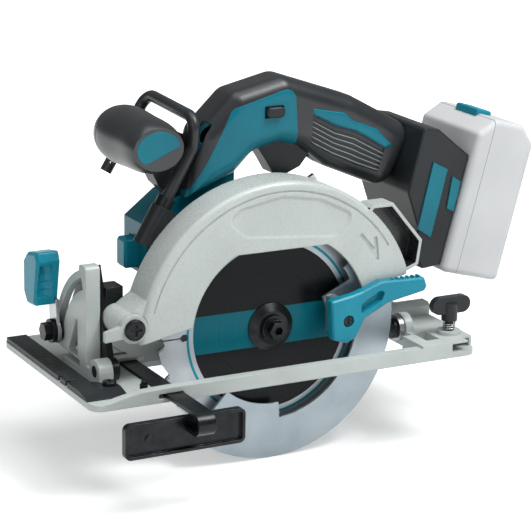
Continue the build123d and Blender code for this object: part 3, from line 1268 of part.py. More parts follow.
def control_holes():
    """Openings in the handle for trigger, lock-off button, shaft lock and hook."""
    x0, x1, z0, z1 = TRIGGER_SLOT
    half = TRIGGER_W / 2 + GAP
    body = bar(x0, x1, HANDLE_Y - half, HANDLE_Y + half, z0, z1)
    w, h = LOCK_W / 2 + GAP, LOCK_H / 2 + GAP
    body += bar(LOCK_X - w, LOCK_X + w, HANDLE_Y - HANDLE_W, HANDLE_Y + HANDLE_W, LOCK_Z - h, LOCK_Z + h)
    w, h = SHAFT_LOCK_W / 2 + GAP, SHAFT_LOCK_H / 2 + GAP
    x1 = SHAFT_LOCK_X0 + 2 * SHAFT_LOCK_L
    body += bar(SHAFT_LOCK_X0, x1, SHAFT_LOCK_Y - w, SHAFT_LOCK_Y + w, SHAFT_LOCK_Z - h, SHAFT_LOCK_Z + h)
    return body + trigger_pin() + hook_rod(HOOK_R + 2 * FACE_GAP, HOLDER_L, HOOK_CLEAR)


# Handle shells and the rubber moulded over them
def rubber_layer():
    return grip_form(0) - grip_form(RUBBER - BOND) - teal_side()


def shell_form():
    teal = grip_form(0) & teal_side()
    body = grip_form(RUBBER) + teal - grip_form(RUBBER + SHELL)
    return body - control_holes() - housing_solid()


def motor_cowl():
    """Cowl between handle and motor; it holds the controller."""
    body = cowl_form(0) - cowl_form(SHELL)
    body -= rod_y(MOTOR_R, UG_FAR, MOTOR_Y1, MOTOR_X, MOTOR_Z)
    for x, z in SHELL_SCREWS:
        body -= rod_y(SHELL_SCREW_R, HANDLE_Y, COWL_Y1, x, z)
    return body - control_holes()


def handle_shell_near(form):
    return form - bar(BASE_X0, BASE_X1, HANDLE_Y, HANDLE_Y + HANDLE_W, 0, SPLIT_TOP)


def handle_shell_far(form):
    return form - bar(BASE_X0, BASE_X1, HANDLE_Y - HANDLE_W, HANDLE_Y, 0, SPLIT_TOP)


def rubber_grip():
    return rubber_layer() - control_holes() - housing_solid()


SHELL_SCREWS = [(-66.0, 72.0), (-66.0, 96.0), (-30.0, 112.0)]
SHELL_SCREW_R = 1.6
SHELL_HEAD = (3.2, 2.0)
SWITCH = (16.0, 40.0, 156.0, 168.0)
BOARD = (-62.0, -26.0, 78.0, 104.0)
BOARD_T = 9.0


def shell_screws():
    parts = []
    for x, z in SHELL_SCREWS:
        parts.append(Pos(x, COWL_Y1, z) * Rot(-90, 0, 0) * screw(SHELL_SCREW_R, SHELL, *SHELL_HEAD))
    return Compound(children=parts)


def switch_unit():
    """Switch body between the shells, and the trigger's pivot pin below it."""
    reach = HANDLE_W / 2 - RUBBER - SHELL
    x0, x1, z0, z1 = SWITCH
    case = bar(x0, x1, HANDLE_Y - reach, HANDLE_Y + reach, z0, z1)
    return Compound(children=[case, trigger_pin()])


def controller_board():
    y1 = COWL_Y1 - SHELL
    x0, x1, z0, z1 = BOARD
    return bar(x0, x1, y1 - BOARD_T, y1, z0, z1)


# Battery mount at the rear end of the handle
MOUNT = [(112.0, 152.0), (124.0, 150.0), (162.0, 119.0), (144.0, 56.0), (114.0, 53.0), (110.0, 60.0), (109.5, 84.0),
         (101.0, 108.0)]
MOUNT_ROUND = 3.0
MOUNT_EDGE = 1.5
MOUNT_Y0 = -7.0
MOUNT_Y1 = 59.0
MOUNT_WALL = 3.0
TONGUE_NECK = 16.0
TONGUE_HALF = 22.0
TONGUE_D = 7.0
TONGUE_LOW = -36.0
TONGUE_TOP = 34.0
BLADE_Y = 9.0
CONTACT_T = 0.8
CONTACT_H = 8.0
TERMINAL_T = 6.0
TERMINAL_RIM = 4.0


def in_pack(shape):
    """Place a shape given in the tilted frame of the battery's front face."""
    return Pos(PACK_X, PACK_Y, PACK_Z) * Rot(0, PACK_TILT, 0) * shape


def tongue(spread, low, top):
    """Slide tongue of the battery, grown by a clearance."""
    neck = bar(-TONGUE_D, GAP, -TONGUE_NECK - spread, TONGUE_NECK + spread, low, top)
    half = TONGUE_HALF + spread
    return neck + bar(-TONGUE_D - spread, -TONGUE_D / 2 + spread, -half, half, low, top)


def housing_solid():
    body = side_plate(outline(*MOUNT, r=MOUNT_ROUND), MOUNT_Y0, MOUNT_Y1)
    return body - in_pack(bar(-FACE_GAP, PACK_D, -PACK_W, PACK_W, 2 * PACK_LOW, 2 * PACK_TOP))


def battery_mount():
    floor_u = -TONGUE_D - MOUNT_WALL - GAP
    body = housing_solid()
    body = fillet(body.faces().sort_by(Axis.Y)[0].edges(), MOUNT_EDGE)
    inside = offset(outline(*MOUNT), amount=-MOUNT_WALL)
    hollow = side_plate(inside, MOUNT_Y0 + MOUNT_WALL, MOUNT_Y1 - MOUNT_WALL)
    body -= hollow - in_pack(bar(floor_u, PACK_D, -PACK_W, PACK_W, 2 * PACK_LOW, 2 * PACK_TOP))
    body -= in_pack(tongue(GAP, TONGUE_LOW - FACE_GAP, 2 * PACK_TOP))
    for side in (-1, 1):
        y = side * BLADE_Y
        body -= in_pack(bar(floor_u, -TONGUE_D, y - CONTACT_T / 2, y + CONTACT_T / 2, -CONTACT_H, CONTACT_H))
    return body


def terminal_block():
    floor_u = -TONGUE_D - MOUNT_WALL - GAP
    half_y, half_w = BLADE_Y + TERMINAL_RIM, CONTACT_H + TERMINAL_RIM
    body = bar(floor_u - TERMINAL_T, floor_u, -half_y, half_y, -half_w, half_w)
    for side in (-1, 1):
        y = side * BLADE_Y
        body += bar(floor_u, -TONGUE_D / 2 - CONTACT_T, y - CONTACT_T / 2, y + CONTACT_T / 2, -CONTACT_H, CONTACT_H)
    return in_pack(body)


STRIP = [(119.6, 127.8), (131.1, 121.9), (119.4, 75.3), (108.8, 82.1)]
BADGE = [(135.3, 116.6), (142.0, 112.0), (137.0, 91.5), (131.5, 94.5)]
TRIM_T = 1.0


def trim_plates():
    """Bare coloured plates on both sides of the battery mount."""
    parts = []
    for shape in (STRIP, BADGE):
        for y0 in (MOUNT_Y0 - TRIM_T, MOUNT_Y1):
            parts.append(side_plate(outline(*shape), y0, y0 + TRIM_T))
    return Compound(children=parts)


# Battery pack: slides up out of the mount along its tilted face
BUTTON_W = 26.0
BUTTON_D = 12.0
BUTTON_U = 16.0
BUTTON_H = 9.0
BUTTON_OUT = 3.0
BUTTON_TRAVEL = 3.5
BUTTON_EDGE = 1.0
CELL_R = 9.1
CELL_L = 65.0
CELL_GAP = 0.2
CELL_ROWS = 2
CELLS_IN_ROW = 5


def battery_case():
    half = PACK_W / 2
    body = bar(0, PACK_D, -half, half, PACK_LOW, PACK_TOP)
    body = chamfer(body.edges().filter_by(Axis.Y).sort_by(Axis.Z)[-2:], PACK_SLOPE)
    body = fillet(body.edges(), PACK_ROUND)
    inner_y = half - PACK_WALL
    inner_top = PACK_TOP - PACK_SLOPE - PACK_WALL
    body -= bar(PACK_WALL, PACK_D - PACK_WALL, -inner_y, inner_y, PACK_LOW + PACK_WALL, inner_top)
    body += tongue(0, TONGUE_LOW, TONGUE_TOP)
    for side in (-1, 1):
        y = side * BLADE_Y
        body -= bar(-TONGUE_D, PACK_WALL / 2, y - CONTACT_T, y + CONTACT_T, TONGUE_LOW, CONTACT_H + FACE_GAP)
    w, d = BUTTON_W / 2 + GAP, BUTTON_D / 2 + GAP
    body -= bar(BUTTON_U - d, BUTTON_U + d, -w, w, PACK_TOP - BUTTON_H, PACK_TOP)
    return in_pack(body)


def battery_cells():
    """Two layers of round cells across the pack."""
    parts = []
    pitch = 2 * CELL_R + CELL_GAP
    for row in range(CELL_ROWS):
        for i in range(CELLS_IN_ROW):
            u = PACK_WALL + CELL_R + row * pitch
            w = PACK_LOW + PACK_WALL + CELL_R + i * pitch
            parts.append(in_pack(Pos(u, 0, w) * Rot(90, 0, 0) * Cylinder(CELL_R, CELL_L)))
    return Compound(children=parts)


def battery_button():
    w, d = BUTTON_W / 2, BUTTON_D / 2
    body = bar(BUTTON_U - d, BUTTON_U + d, -w, w, PACK_TOP - BUTTON_H + BUTTON_TRAVEL + GAP, PACK_TOP + BUTTON_OUT)
    return in_pack(chamfer(body.faces().sort_by(Axis.Z)[-1].edges(), BUTTON_EDGE))


# Front grip: rounded knob across the saw on a stalk
GRIP_X = -81.5
GRIP_Z = 153.0
FRONT_SECTIONS = [(0.0, 17.5, 14.0), (7.0, 19.2, 17.0), (24.0, 19.5, 18.5), (46.0, 20.5, 19.5), (62.0, 18.5, 17.5),
                  (71.0, 13.0, 12.0), (76.0, 5.0, 4.5)]
INSERT_T = 1.4
INSERT_RIM = 2.3
INSERT_SLANT = 23.0
INSERT_DROP = 4.9
INSERT_BEND = 1.5
SEAM_Y = 55.0
SEAM_W = 0.9
SEAM_DEPTH = 0.8
STALK = [(-78.0, 142.0), (-68.0, 122.0), (-58.0, 112.0), (-44.0, 110.0), (-40.0, 150.0), (-58.0, 158.0)]
STALK_ROUND = 3.0
STALK_Y0 = 30.0
STALK_Y1 = 46.0


def front_form(inset=0.0):
    faces = []
    for y, rx, rz in FRONT_SECTIONS:
        section = Ellipse(rx - inset, rz - inset)
        faces.append(Plane((GRIP_X, y, GRIP_Z), x_dir=(1, 0, 0), z_dir=(0, 1, 0)) * section)
    return loft(faces)


def insert_form():
    """Leaf-shaped plate: an oval cut off below a slanting line."""
    y, rx, rz = FRONT_SECTIONS[0]
    oval = Pos(GRIP_X, GRIP_Z) * Ellipse(rx - INSERT_RIM, rz - INSERT_RIM)
    below = Pos(GRIP_X, GRIP_Z) * Rot(0, 0, INSERT_SLANT) * Pos(0, -INSERT_DROP - rx) * Rectangle(4 * rx, 2 * rx)
    leaf = oval - below
    return side_plate(fillet(leaf.vertices(), INSERT_BEND), y, y + INSERT_T)


def front_grip():
    """Grip with a parting groove round it and a recess for the insert."""
    side = 4 * FRONT_SECTIONS[0][1]
    ring = side_plate(Pos(GRIP_X, GRIP_Z) * Rectangle(side, side), SEAM_Y - SEAM_W / 2, SEAM_Y + SEAM_W / 2)
    return front_form() - (ring - front_form(SEAM_DEPTH)) - insert_form()


def grip_insert():
    return insert_form()


def grip_stalk():
    body = side_plate(outline(*STALK, r=STALK_ROUND), STALK_Y0, STALK_Y1)
    return body - front_form() - grip_form(0) - cowl_form(0)


# Wing knob that clamps the rear guide slot, on a spring
KNOB_Z0 = 20.5
KNOB_H = 12.0
KNOB_R = 5.5
WING_W = 30.0
WING_H = 12.0
WING_T = 5.0
WING_SINK = 1.0
STEM_IN = 8.0
STEM_TIP = 1.5
KNOB_WIRE = 0.5
KNOB_TURNS = 3.5


def wing_knob():
    """Moulded wing with its screw."""
    top = KNOB_Z0 + STEM_IN
    hub = rod_z(KNOB_R, KNOB_Z0, KNOB_Z0 + KNOB_H, CLAMP_X, CLAMP_Y)
    wing_at = Pos(CLAMP_X, KNOB_Z0 + KNOB_H - WING_SINK)
    wing = side_plate(wing_at * SlotOverall(WING_W, WING_H), CLAMP_Y - WING_T / 2, CLAMP_Y + WING_T / 2)
    stem = rod_z(CLAMP_SCREW_R, PLATE_T + REAR_SLOT_H - STEM_TIP, top, CLAMP_X, CLAMP_Y)
    return Compound(children=[hub + wing - rod_z(CLAMP_SCREW_R, KNOB_Z0, top, CLAMP_X, CLAMP_Y), stem])


def knob_spring():
    low = BLOCK_H + CLAMP_BOSS_H
    room = KNOB_Z0 - low - GAP
    pitch = (room - 2 * KNOB_WIRE) / KNOB_TURNS
    wound = coil(CLAMP_SCREW_R + KNOB_WIRE + FACE_GAP, pitch, KNOB_TURNS, KNOB_WIRE, "knob spring")
    return Pos(CLAMP_X, CLAMP_Y, low + KNOB_WIRE) * wound


PIECES = [
    base_plate, front_scale, bevel_quadrant, bevel_pins, base_screws, knob_spring, fence_bar, fence_plate, wing_knob,
    tilt_bracket, bevel_bolt, depth_pivot_screw, pivot_washer, depth_guide, bevel_lever_arm, bevel_lever,
    upper_guard, gear_housing, bearing_plate, ball_bearings, motor_housing, motor_end_cap, stator,
    rubber_grip, motor_cowl, shell_screws, switch_unit, controller_board, battery_mount, terminal_block, trim_plates,
    front_grip, grip_insert, grip_stalk, hook_holder, hook_bush, depth_stud,
    depth_lever, trigger, lock_off_button, shaft_lock_button, hook,
    saw_blade, inner_flange, outer_flange, arbor_bolt, spindle, drive_gear, rotor_shaft, rotor_core, cooling_fan,
    lower_guard, guard_lever, guard_lever_screw, guard_spring, battery_case, battery_cells, battery_button]

os.makedirs("parts", exist_ok=True)
for piece in PIECES:
    write(piece.__name__, piece())
shells = shell_form()
write("handle_shell_near", handle_shell_near(shells))
write("handle_shell_far", handle_shell_far(shells))
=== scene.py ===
import bpy
import bmesh
from math import cos, pi, radians, sin
from mathutils import Matrix, Vector
from mathutils.bvhtree import BVHTree


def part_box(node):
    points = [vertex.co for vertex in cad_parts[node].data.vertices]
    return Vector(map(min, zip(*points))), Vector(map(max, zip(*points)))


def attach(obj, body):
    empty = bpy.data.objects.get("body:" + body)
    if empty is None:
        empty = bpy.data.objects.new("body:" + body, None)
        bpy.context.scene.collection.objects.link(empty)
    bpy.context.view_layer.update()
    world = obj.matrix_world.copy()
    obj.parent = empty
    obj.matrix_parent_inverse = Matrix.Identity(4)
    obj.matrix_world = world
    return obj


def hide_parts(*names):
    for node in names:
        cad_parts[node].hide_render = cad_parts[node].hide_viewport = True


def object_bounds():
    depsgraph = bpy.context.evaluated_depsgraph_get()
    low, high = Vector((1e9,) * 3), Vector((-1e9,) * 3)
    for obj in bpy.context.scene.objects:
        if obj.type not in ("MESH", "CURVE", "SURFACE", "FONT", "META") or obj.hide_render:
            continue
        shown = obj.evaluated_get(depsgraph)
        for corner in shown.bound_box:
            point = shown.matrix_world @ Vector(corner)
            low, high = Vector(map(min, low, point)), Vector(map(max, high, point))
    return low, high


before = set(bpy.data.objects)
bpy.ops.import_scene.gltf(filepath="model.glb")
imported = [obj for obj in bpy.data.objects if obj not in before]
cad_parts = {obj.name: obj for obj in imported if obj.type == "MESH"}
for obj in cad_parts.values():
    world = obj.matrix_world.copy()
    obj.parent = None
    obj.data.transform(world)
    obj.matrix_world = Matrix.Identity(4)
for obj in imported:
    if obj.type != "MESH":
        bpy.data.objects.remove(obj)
cad_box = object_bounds()


# Base casting, bevel quadrant and pivot washer
# A die-cast light-metal sole with a thin rail on the blade side and a clamp block at the rear.
# The castings are painted pale grey; the quadrant is cast apart and pinned on.
MM = 0.001
TONE_RANGE = (0.32, 0.68)
EDGE_RAYS = 4
WEAR_ANGLES = (0.9, 0.72)
WEAR_MM = 4.0
WEAR_RANGE = (0.42, 0.66)


def linear(hex_colour):
    """Linear colour of an sRGB hex value."""
    parts = [int(hex_colour[i:i + 2], 16) / 255 for i in (1, 3, 5)]
    return tuple(c / 12.92 if c < 0.04045 else ((c + 0.055) / 1.055) ** 2.4 for c in parts) + (1.0,)


def add(tree, kind, inputs=None, **settings):
    """Add one node: settings are its properties, inputs are values or sockets to link."""
    made = tree.nodes.new(kind)
    for key, value in settings.items():
        setattr(made, key, value)
    for key, value in (inputs or {}).items():
        if isinstance(value, bpy.types.NodeSocket):
            tree.links.new(value, made.inputs[key])
        else:
            made.inputs[key].default_value = value
    return made


def new_material(name):
    """Empty node material, its tree, its shader and object coordinates in metres."""
    material = bpy.data.materials.new(name)
    material.use_nodes = True
    tree = material.node_tree
    shader = tree.nodes["Principled BSDF"]
    place = add(tree, "ShaderNodeTexCoord").outputs["Object"]
    return material, tree, shader, place


def dress(material, *nodes):
    """Give CAD nodes a material."""
    for name in nodes:
        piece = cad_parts[name]
        if not piece.material_slots:
            piece.data.materials.append(material)
        for slot in piece.material_slots:
            slot.material = material


def tinted(tree, place, pale, deep, patch_mm):
    """Colour that drifts softly between two tones over patches of a real size."""
    drift = add(tree, "ShaderNodeTexNoise", {"Vector": place, "Scale": 1000 / patch_mm, "Detail": 3.0})
    ramp = add(tree, "ShaderNodeValToRGB", {"Fac": drift.outputs["Fac"]})
    for stop, share, tone in zip(ramp.color_ramp.elements, TONE_RANGE, (deep, pale)):
        stop.position = share
        stop.color = linear(tone)
    return ramp.outputs["Color"]


def worn_colour(tree, shader, place, pale, deep, worn, patch_mm, edge_mm):
    """Two-toned base colour with its edges rubbed in broken patches; gives the rounded edge normal."""
    soft = add(tree, "ShaderNodeBevel", {"Radius": edge_mm * MM}, samples=EDGE_RAYS).outputs["Normal"]
    face = add(tree, "ShaderNodeNewGeometry").outputs["Normal"]
    turn = add(tree, "ShaderNodeVectorMath", {0: soft, 1: face}, operation="DOT_PRODUCT")
    edge = add(tree, "ShaderNodeMapRange",
               {"Value": turn.outputs["Value"], "From Min": WEAR_ANGLES[0], "From Max": WEAR_ANGLES[1]})
    patch = add(tree, "ShaderNodeTexNoise", {"Vector": place, "Scale": 1000 / WEAR_MM, "Detail": 4.0})
    broken = add(tree, "ShaderNodeMapRange",
                 {"Value": patch.outputs["Fac"], "From Min": WEAR_RANGE[0], "From Max": WEAR_RANGE[1]})
    rub = add(tree, "ShaderNodeMath", {0: edge.outputs["Result"], 1: broken.outputs["Result"]},
              operation="MULTIPLY")
    tree.links.new(tinted(tree, place, pale, deep, patch_mm), shader.inputs["Base Color"])
    overpaint(tree, shader, rub.outputs["Value"], linear(worn))
    return soft


def overpaint(tree, shader, mask, paint):
    """Lay a colour over the base colour where a mask is 1."""
    under = shader.inputs["Base Color"].links[0].from_socket
    both = add(tree, "ShaderNodeMix", {"Factor": mask, "A": under, "B": paint}, data_type="RGBA")
    tree.links.new(both.outputs["Result"], shader.inputs["Base Color"])


def uneven_surface(tree, shader, pattern, normal, smooth, rough, strength, depth_mm):
    """Gloss between two roughness values and relief of a real depth, both from one pattern."""
    gloss = add(tree, "ShaderNodeMapRange", {"Value": pattern, "To Min": smooth, "To Max": rough})
    tree.links.new(gloss.outputs["Result"], shader.inputs["Roughness"])
    relief = add(tree, "ShaderNodeBump", {"Height": pattern, "Strength": strength, "Distance": depth_mm * MM,
                                          "Normal": normal})
    tree.links.new(relief.outputs["Normal"], shader.inputs["Normal"])


def painted_casting(name, pale, deep, roughness, edge_mm):
    """Satin paint on a cast skin: orange peel 1.5 mm across breaks up the highlights, corners look rubbed."""
    material, tree, shader, place = new_material(name)
    normal = worn_colour(tree, shader, place, pale, deep, worn="#d9dedc", patch_mm=38, edge_mm=edge_mm)
    peel = add(tree, "ShaderNodeTexNoise", {"Vector": place, "Scale": 1000 / 1.5, "Detail": 2.0})
    uneven_surface(tree, shader, peel.outputs["Fac"], normal, roughness - 0.03, roughness + 0.05,
                   strength=0.01, depth_mm=0.3)
    shader.inputs["IOR"].default_value = 1.5
    return material, tree, shader, place


grey_paint = painted_casting("pale_grey_paint_on_light_metal", "#bfc7c4", "#b3bbb8", 0.32, edge_mm=1.0)[0]
dress(grey_paint, "base_plate", "bevel_quadrant", "pivot_washer")


# Front scale
# A moulded strip of glass-filled nylon at the front edge, screwed down, with engraved marks and sight notches.
# The marks are filled with grey paint.
TICK_DEPTH = 0.4 * MM
TICK_REACH = 0.12 * MM
LEVEL_FACE = 0.98


def moulded(name, pale, deep, worn, roughness, grain_mm, depth_mm, edge_mm=0.8, shine=0.24):
    """Moulded plastic: spark-eroded grain from the tool; grain finer than a pixel is drawn coarser to show."""
    material, tree, shader, place = new_material(name)
    normal = worn_colour(tree, shader, place, pale, deep, worn, patch_mm=55, edge_mm=edge_mm)
    grain = add(tree, "ShaderNodeTexNoise",
                {"Vector": place, "Scale": 1000 / grain_mm, "Detail": 4.0, "Roughness": 0.6})
    uneven_surface(tree, shader, grain.outputs["Fac"], normal, roughness - 0.07, roughness + 0.09,
                   strength=0.22, depth_mm=depth_mm)
    shader.inputs["IOR"].default_value = 1.53
    shader.inputs["Specular IOR Level"].default_value = shine
    return material, tree, shader, place


def where_all(tree, tests):
    """Mask that is 1 where every test is 1."""
    mask = tests[0]
    for test in tests[1:]:
        mask = add(tree, "ShaderNodeMath", {0: mask, 1: test}, operation="MULTIPLY").outputs["Value"]
    return mask


marked_nylon, tree, shader, place = moulded("black_nylon_with_filled_marks", "#282c2f", "#1d2022", "#454a4d",
                                            0.36, grain_mm=0.9, depth_mm=0.08)
mark_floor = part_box("front_scale")[1][2] - TICK_DEPTH
height = add(tree, "ShaderNodeSeparateXYZ", {"Vector": place}).outputs["Z"]
in_mark = add(tree, "ShaderNodeMath", {0: height, 1: mark_floor, 2: TICK_REACH}, operation="COMPARE")
facing = add(tree, "ShaderNodeNewGeometry").outputs["True Normal"]
upward = add(tree, "ShaderNodeSeparateXYZ", {"Vector": facing}).outputs["Z"]
level = add(tree, "ShaderNodeMath", {0: upward, 1: LEVEL_FACE}, operation="GREATER_THAN")
filled = where_all(tree, [in_mark.outputs["Value"], level.outputs["Value"]])
overpaint(tree, shader, filled, linear("#aeb3b5"))
dress(marked_nylon, "front_scale")


# Screws, pins, brackets and the fence
# Steel with a thin black oxide skin: nearly black, with pale rubbed edges and a low metal sheen.
def black_oxide(name, pale, deep, roughness):
    """Oxide-blackened steel, rubbed unevenly in spots about 3 mm across."""
    material, tree, shader, place = new_material(name)
    normal = worn_colour(tree, shader, place, pale, deep, worn="#55595c", patch_mm=9, edge_mm=0.5)
    shader.inputs["Metallic"].default_value = 0.7
    spots = add(tree, "ShaderNodeTexNoise", {"Vector": place, "Scale": 1000 / 3.0, "Detail": 5.0})
    uneven_surface(tree, shader, spots.outputs["Fac"], normal, roughness - 0.08, roughness + 0.14,
                   strength=0.06, depth_mm=0.1)
    return material


oxide_steel = black_oxide("black_oxide_steel", "#2a2d30", "#1a1c1e", 0.28)
dress(oxide_steel, "bevel_pins", "base_screws", "tilt_bracket", "bevel_bolt", "outer_flange", "arbor_bolt",
      "depth_pivot_screw", "guard_lever_screw", "shell_screws", "fence_bar", "fence_plate", "hook_bush")


# Bright steel pieces
# Zinc-plated and turned steel: the depth arc, lever arm, studs, spindle, bearings and gears.
def drawn_steel(name, pale, deep, roughness):
    """Bright metal with drawing lines about 6 mm long, a fourteenth as wide."""
    material, tree, shader, place = new_material(name)
    normal = worn_colour(tree, shader, place, pale, deep, worn="#dfe1e2", patch_mm=14, edge_mm=0.4)
    shader.inputs["Metallic"].default_value = 1.0
    along = add(tree, "ShaderNodeMapping", {"Vector": place, "Scale": (1.0, 1.0, 14.0)}).outputs["Vector"]
    lines = add(tree, "ShaderNodeTexNoise", {"Vector": along, "Scale": 1000 / 6.0, "Detail": 4.0})
    uneven_surface(tree, shader, lines.outputs["Fac"], normal, roughness - 0.08, roughness + 0.1,
                   strength=0.08, depth_mm=0.05)
    return material


bright_steel = drawn_steel("zinc_plated_steel", "#c4c7c9", "#a4a8ab", 0.32)
dress(bright_steel, "depth_guide", "bevel_lever_arm", "ball_bearings", "depth_stud", "inner_flange", "spindle",
      "drive_gear", "rotor_shaft", "rotor_core")


# Springs
# Round music wire, cold wound: a pressure spring under the wing knob, and the return spring of the lower guard.
# The wire is bright, with fine drawing lines along it.
KNOB_SPRING_R = 4.0 * MM
KNOB_WIRE = 0.5 * MM
KNOB_TURNS = 3.5
KNOB_STEPS = 32
GUARD_WIRE = 0.7 * MM
GUARD_TURNS = 1.25
GUARD_STEPS = 64


def helix(turns, steps, point_at):
    """Points of a coil, from a function of the angle and of the share of the coil's rise."""
    shares = [i / (turns * steps) for i in range(round(turns * steps) + 1)]
    return [point_at(2 * pi * turns * share, share) for share in shares]


def wound_wire(name, points, wire_r):
    """Tube of wire along a list of points, with capped ends."""
    curve = bpy.data.curves.new(name, "CURVE")
    curve.dimensions = "3D"
    curve.bevel_depth = wire_r
    curve.bevel_resolution = 5
    curve.use_fill_caps = True
    line = curve.splines.new("POLY")
    line.points.add(len(points) - 1)
    for point, xyz in zip(line.points, points):
        point.co = (*xyz, 1.0)
    made = bpy.data.objects.new(name, curve)
    bpy.context.scene.collection.objects.link(made)
    return made


low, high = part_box("knob_spring")
knob_low, knob_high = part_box("wing_knob")
knob_x = (knob_low[0] + knob_high[0]) / 2
knob_y = (knob_low[1] + knob_high[1]) / 2
foot = low[2] + KNOB_WIRE
rise = high[2] - low[2] - 2 * KNOB_WIRE
knob_line = helix(KNOB_TURNS, KNOB_STEPS, lambda angle, share: (
    knob_x + KNOB_SPRING_R * cos(angle), knob_y + KNOB_SPRING_R * sin(angle), foot + rise * share))
knob_coil = wound_wire("knob_spring_coil", knob_line, KNOB_WIRE)
spring_steel = drawn_steel("bright_music_wire", "#cfd1d2", "#b2b5b7", 0.26)
knob_coil.data.materials.append(spring_steel)
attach(knob_coil, "base")
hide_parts("knob_spring")

low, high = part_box("guard_spring")
blade_low, blade_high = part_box("saw_blade")
spindle = (0.0, 0.0, (blade_low[2] + blade_high[2]) / 2)
coil_r = (high[0] - low[0]) / 2 - GUARD_WIRE
back = high[1] - GUARD_WIRE
fall = high[1] - low[1] - 2 * GUARD_WIRE
guard_line = helix(GUARD_TURNS, GUARD_STEPS, lambda angle, share: (
    coil_r * cos(angle), back - fall * share, spindle[2] + coil_r * sin(angle)))
guard_coil = wound_wire("guard_spring_coil", guard_line, GUARD_WIRE)
guard_coil.data.materials.append(spring_steel)
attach(guard_coil, "saw_body")
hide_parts("guard_spring")


# Upper guard and gear housing
# A deep die-cast shell over the blade, painted like the base but smoother; the gear case is bolted behind it.
# Inside the chip duct the casting is painted near black, a painted shade for the shade that falls inside the
# duct.
DUCT = [(68.0, 105.0), (84.0, 105.0), (107.5, 77.0), (105.0, 60.0), (92.0, 55.0)]
DUCT_SKIN = 1.8
DUCT_ARC = 101.0
DUCT_FRONT = 62.0
NEAR_SKIN = 0.2


def from_spindle(tree, place):
    """Distance of a point from the spindle's axis."""
    off = add(tree, "ShaderNodeVectorMath", {0: place, 1: spindle}, operation="SUBTRACT")
    flat = add(tree, "ShaderNodeVectorMath", {0: off.outputs["Vector"], 1: (1.0, 0.0, 1.0)},
               operation="MULTIPLY")
    return add(tree, "ShaderNodeVectorMath", {0: flat.outputs["Vector"]}, operation="LENGTH").outputs["Value"]


smooth_paint = painted_casting("smooth_grey_paint_on_light_metal", "#c1c9c6", "#b7bfbc", 0.27, edge_mm=1.0)[0]
dress(smooth_paint, "gear_housing", "bearing_plate")
guard_paint_and_duct_shade, tree, shader, place = painted_casting("grey_paint_with_painted_duct_shade", "#c1c9c6", "#b7bfbc", 0.27,
                                                   edge_mm=1.1)
guard_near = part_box("upper_guard")[0][1]
part = add(tree, "ShaderNodeSeparateXYZ", {"Vector": place})
limits = [(from_spindle(tree, place), DUCT_ARC * MM), (part.outputs["X"], DUCT_FRONT * MM),
          (part.outputs["Y"], guard_near + NEAR_SKIN * MM)]
for (x0, z0), (x1, z1) in zip(DUCT, DUCT[1:]):
    edge = Vector((x1 - x0, 0.0, z1 - z0)).normalized()
    inward = Vector((edge.z, 0.0, -edge.x))
    reach = (inward.dot(Vector((x0, 0.0, z0))) + DUCT_SKIN) * MM
    across = add(tree, "ShaderNodeVectorMath", {0: place, 1: inward}, operation="DOT_PRODUCT")
    limits.append((across.outputs["Value"], reach))
past = [add(tree, "ShaderNodeMath", {0: value, 1: limit}, operation="GREATER_THAN") for value, limit in limits]
# Painted shade: inside the chip duct's walls and arc, the paint turns near black.
overpaint(tree, shader, where_all(tree, [test.outputs["Value"] for test in past]), linear("#24282a"))
dress(guard_paint_and_duct_shade, "upper_guard")


# Lower guard
# Pressed aluminium sheet that swings round the nose.
# It is satin from the press, and chips have rubbed faint rings into it.
def turned_sheet(name, pale, deep):
    """Metal with fine rings about the spindle, drawn 0.5 mm apart: the real ones are finer than a pixel."""
    material, tree, shader, place = new_material(name)
    radius = from_spindle(tree, place)
    in_rings = add(tree, "ShaderNodeMath", {0: radius, 1: 1000 / 0.5}, operation="MULTIPLY")
    rings = add(tree, "ShaderNodeTexNoise", {"W": in_rings.outputs["Value"], "Scale": 1.0, "Detail": 3.0},
                noise_dimensions="1D")
    normal = worn_colour(tree, shader, place, pale, deep, worn="#dde2e4", patch_mm=26, edge_mm=0.4)
    shader.inputs["Metallic"].default_value = 0.85
    uneven_surface(tree, shader, rings.outputs["Fac"], normal, 0.36, 0.52, strength=0.06, depth_mm=0.1)
    return material, tree, shader, place, radius


guard_sheet = turned_sheet("satin_pressed_aluminium", "#a8b2b8", "#98a3a9")[0]
dress(guard_sheet, "lower_guard")


# Blade
# A ground steel disc with a printed black centre, one coloured band across it and a thin coloured ring.
# The grinding leaves fine rings; the print is bare, thin and slightly glossy.
LABEL_R = 57 * MM
BAND_HALF = 13 * MM
RING_R = 61 * MM
RING_W = 0.9 * MM
NEAR_FACE = 0.1 * MM
blade_steel, tree, shader, place, radius = turned_sheet("ring_ground_blade_steel", "#b4babf", "#9aa1a7")
ring = add(tree, "ShaderNodeMath", {0: radius, 1: RING_R, 2: RING_W}, operation="COMPARE")
overpaint(tree, shader, ring.outputs["Value"], linear("#1f7f8e"))
part = add(tree, "ShaderNodeSeparateXYZ", {"Vector": place})
near = add(tree, "ShaderNodeMath", {0: part.outputs["Y"], 1: blade_low[1] + NEAR_FACE}, operation="LESS_THAN")
inside = add(tree, "ShaderNodeMath", {0: radius, 1: LABEL_R}, operation="LESS_THAN")
label = where_all(tree, [inside.outputs["Value"], near.outputs["Value"]])
band = add(tree, "ShaderNodeMath", {0: part.outputs["Z"], 1: spindle[2], 2: BAND_HALF}, operation="COMPARE")
inks = {"Factor": band.outputs["Value"], "A": linear("#111417"), "B": linear("#04606f")}
overpaint(tree, shader, label, add(tree, "ShaderNodeMix", inks, data_type="RGBA").outputs["Result"])
bare = add(tree, "ShaderNodeMapRange", {"Value": label, "To Min": 0.9, "To Max": 0.05})
tree.links.new(bare.outputs["Result"], shader.inputs["Metallic"])
ring_gloss = shader.inputs["Roughness"].links[0].from_socket
varnish = add(tree, "ShaderNodeMapRange", {"Value": label, "To Min": 1.0, "To Max": 0.6})
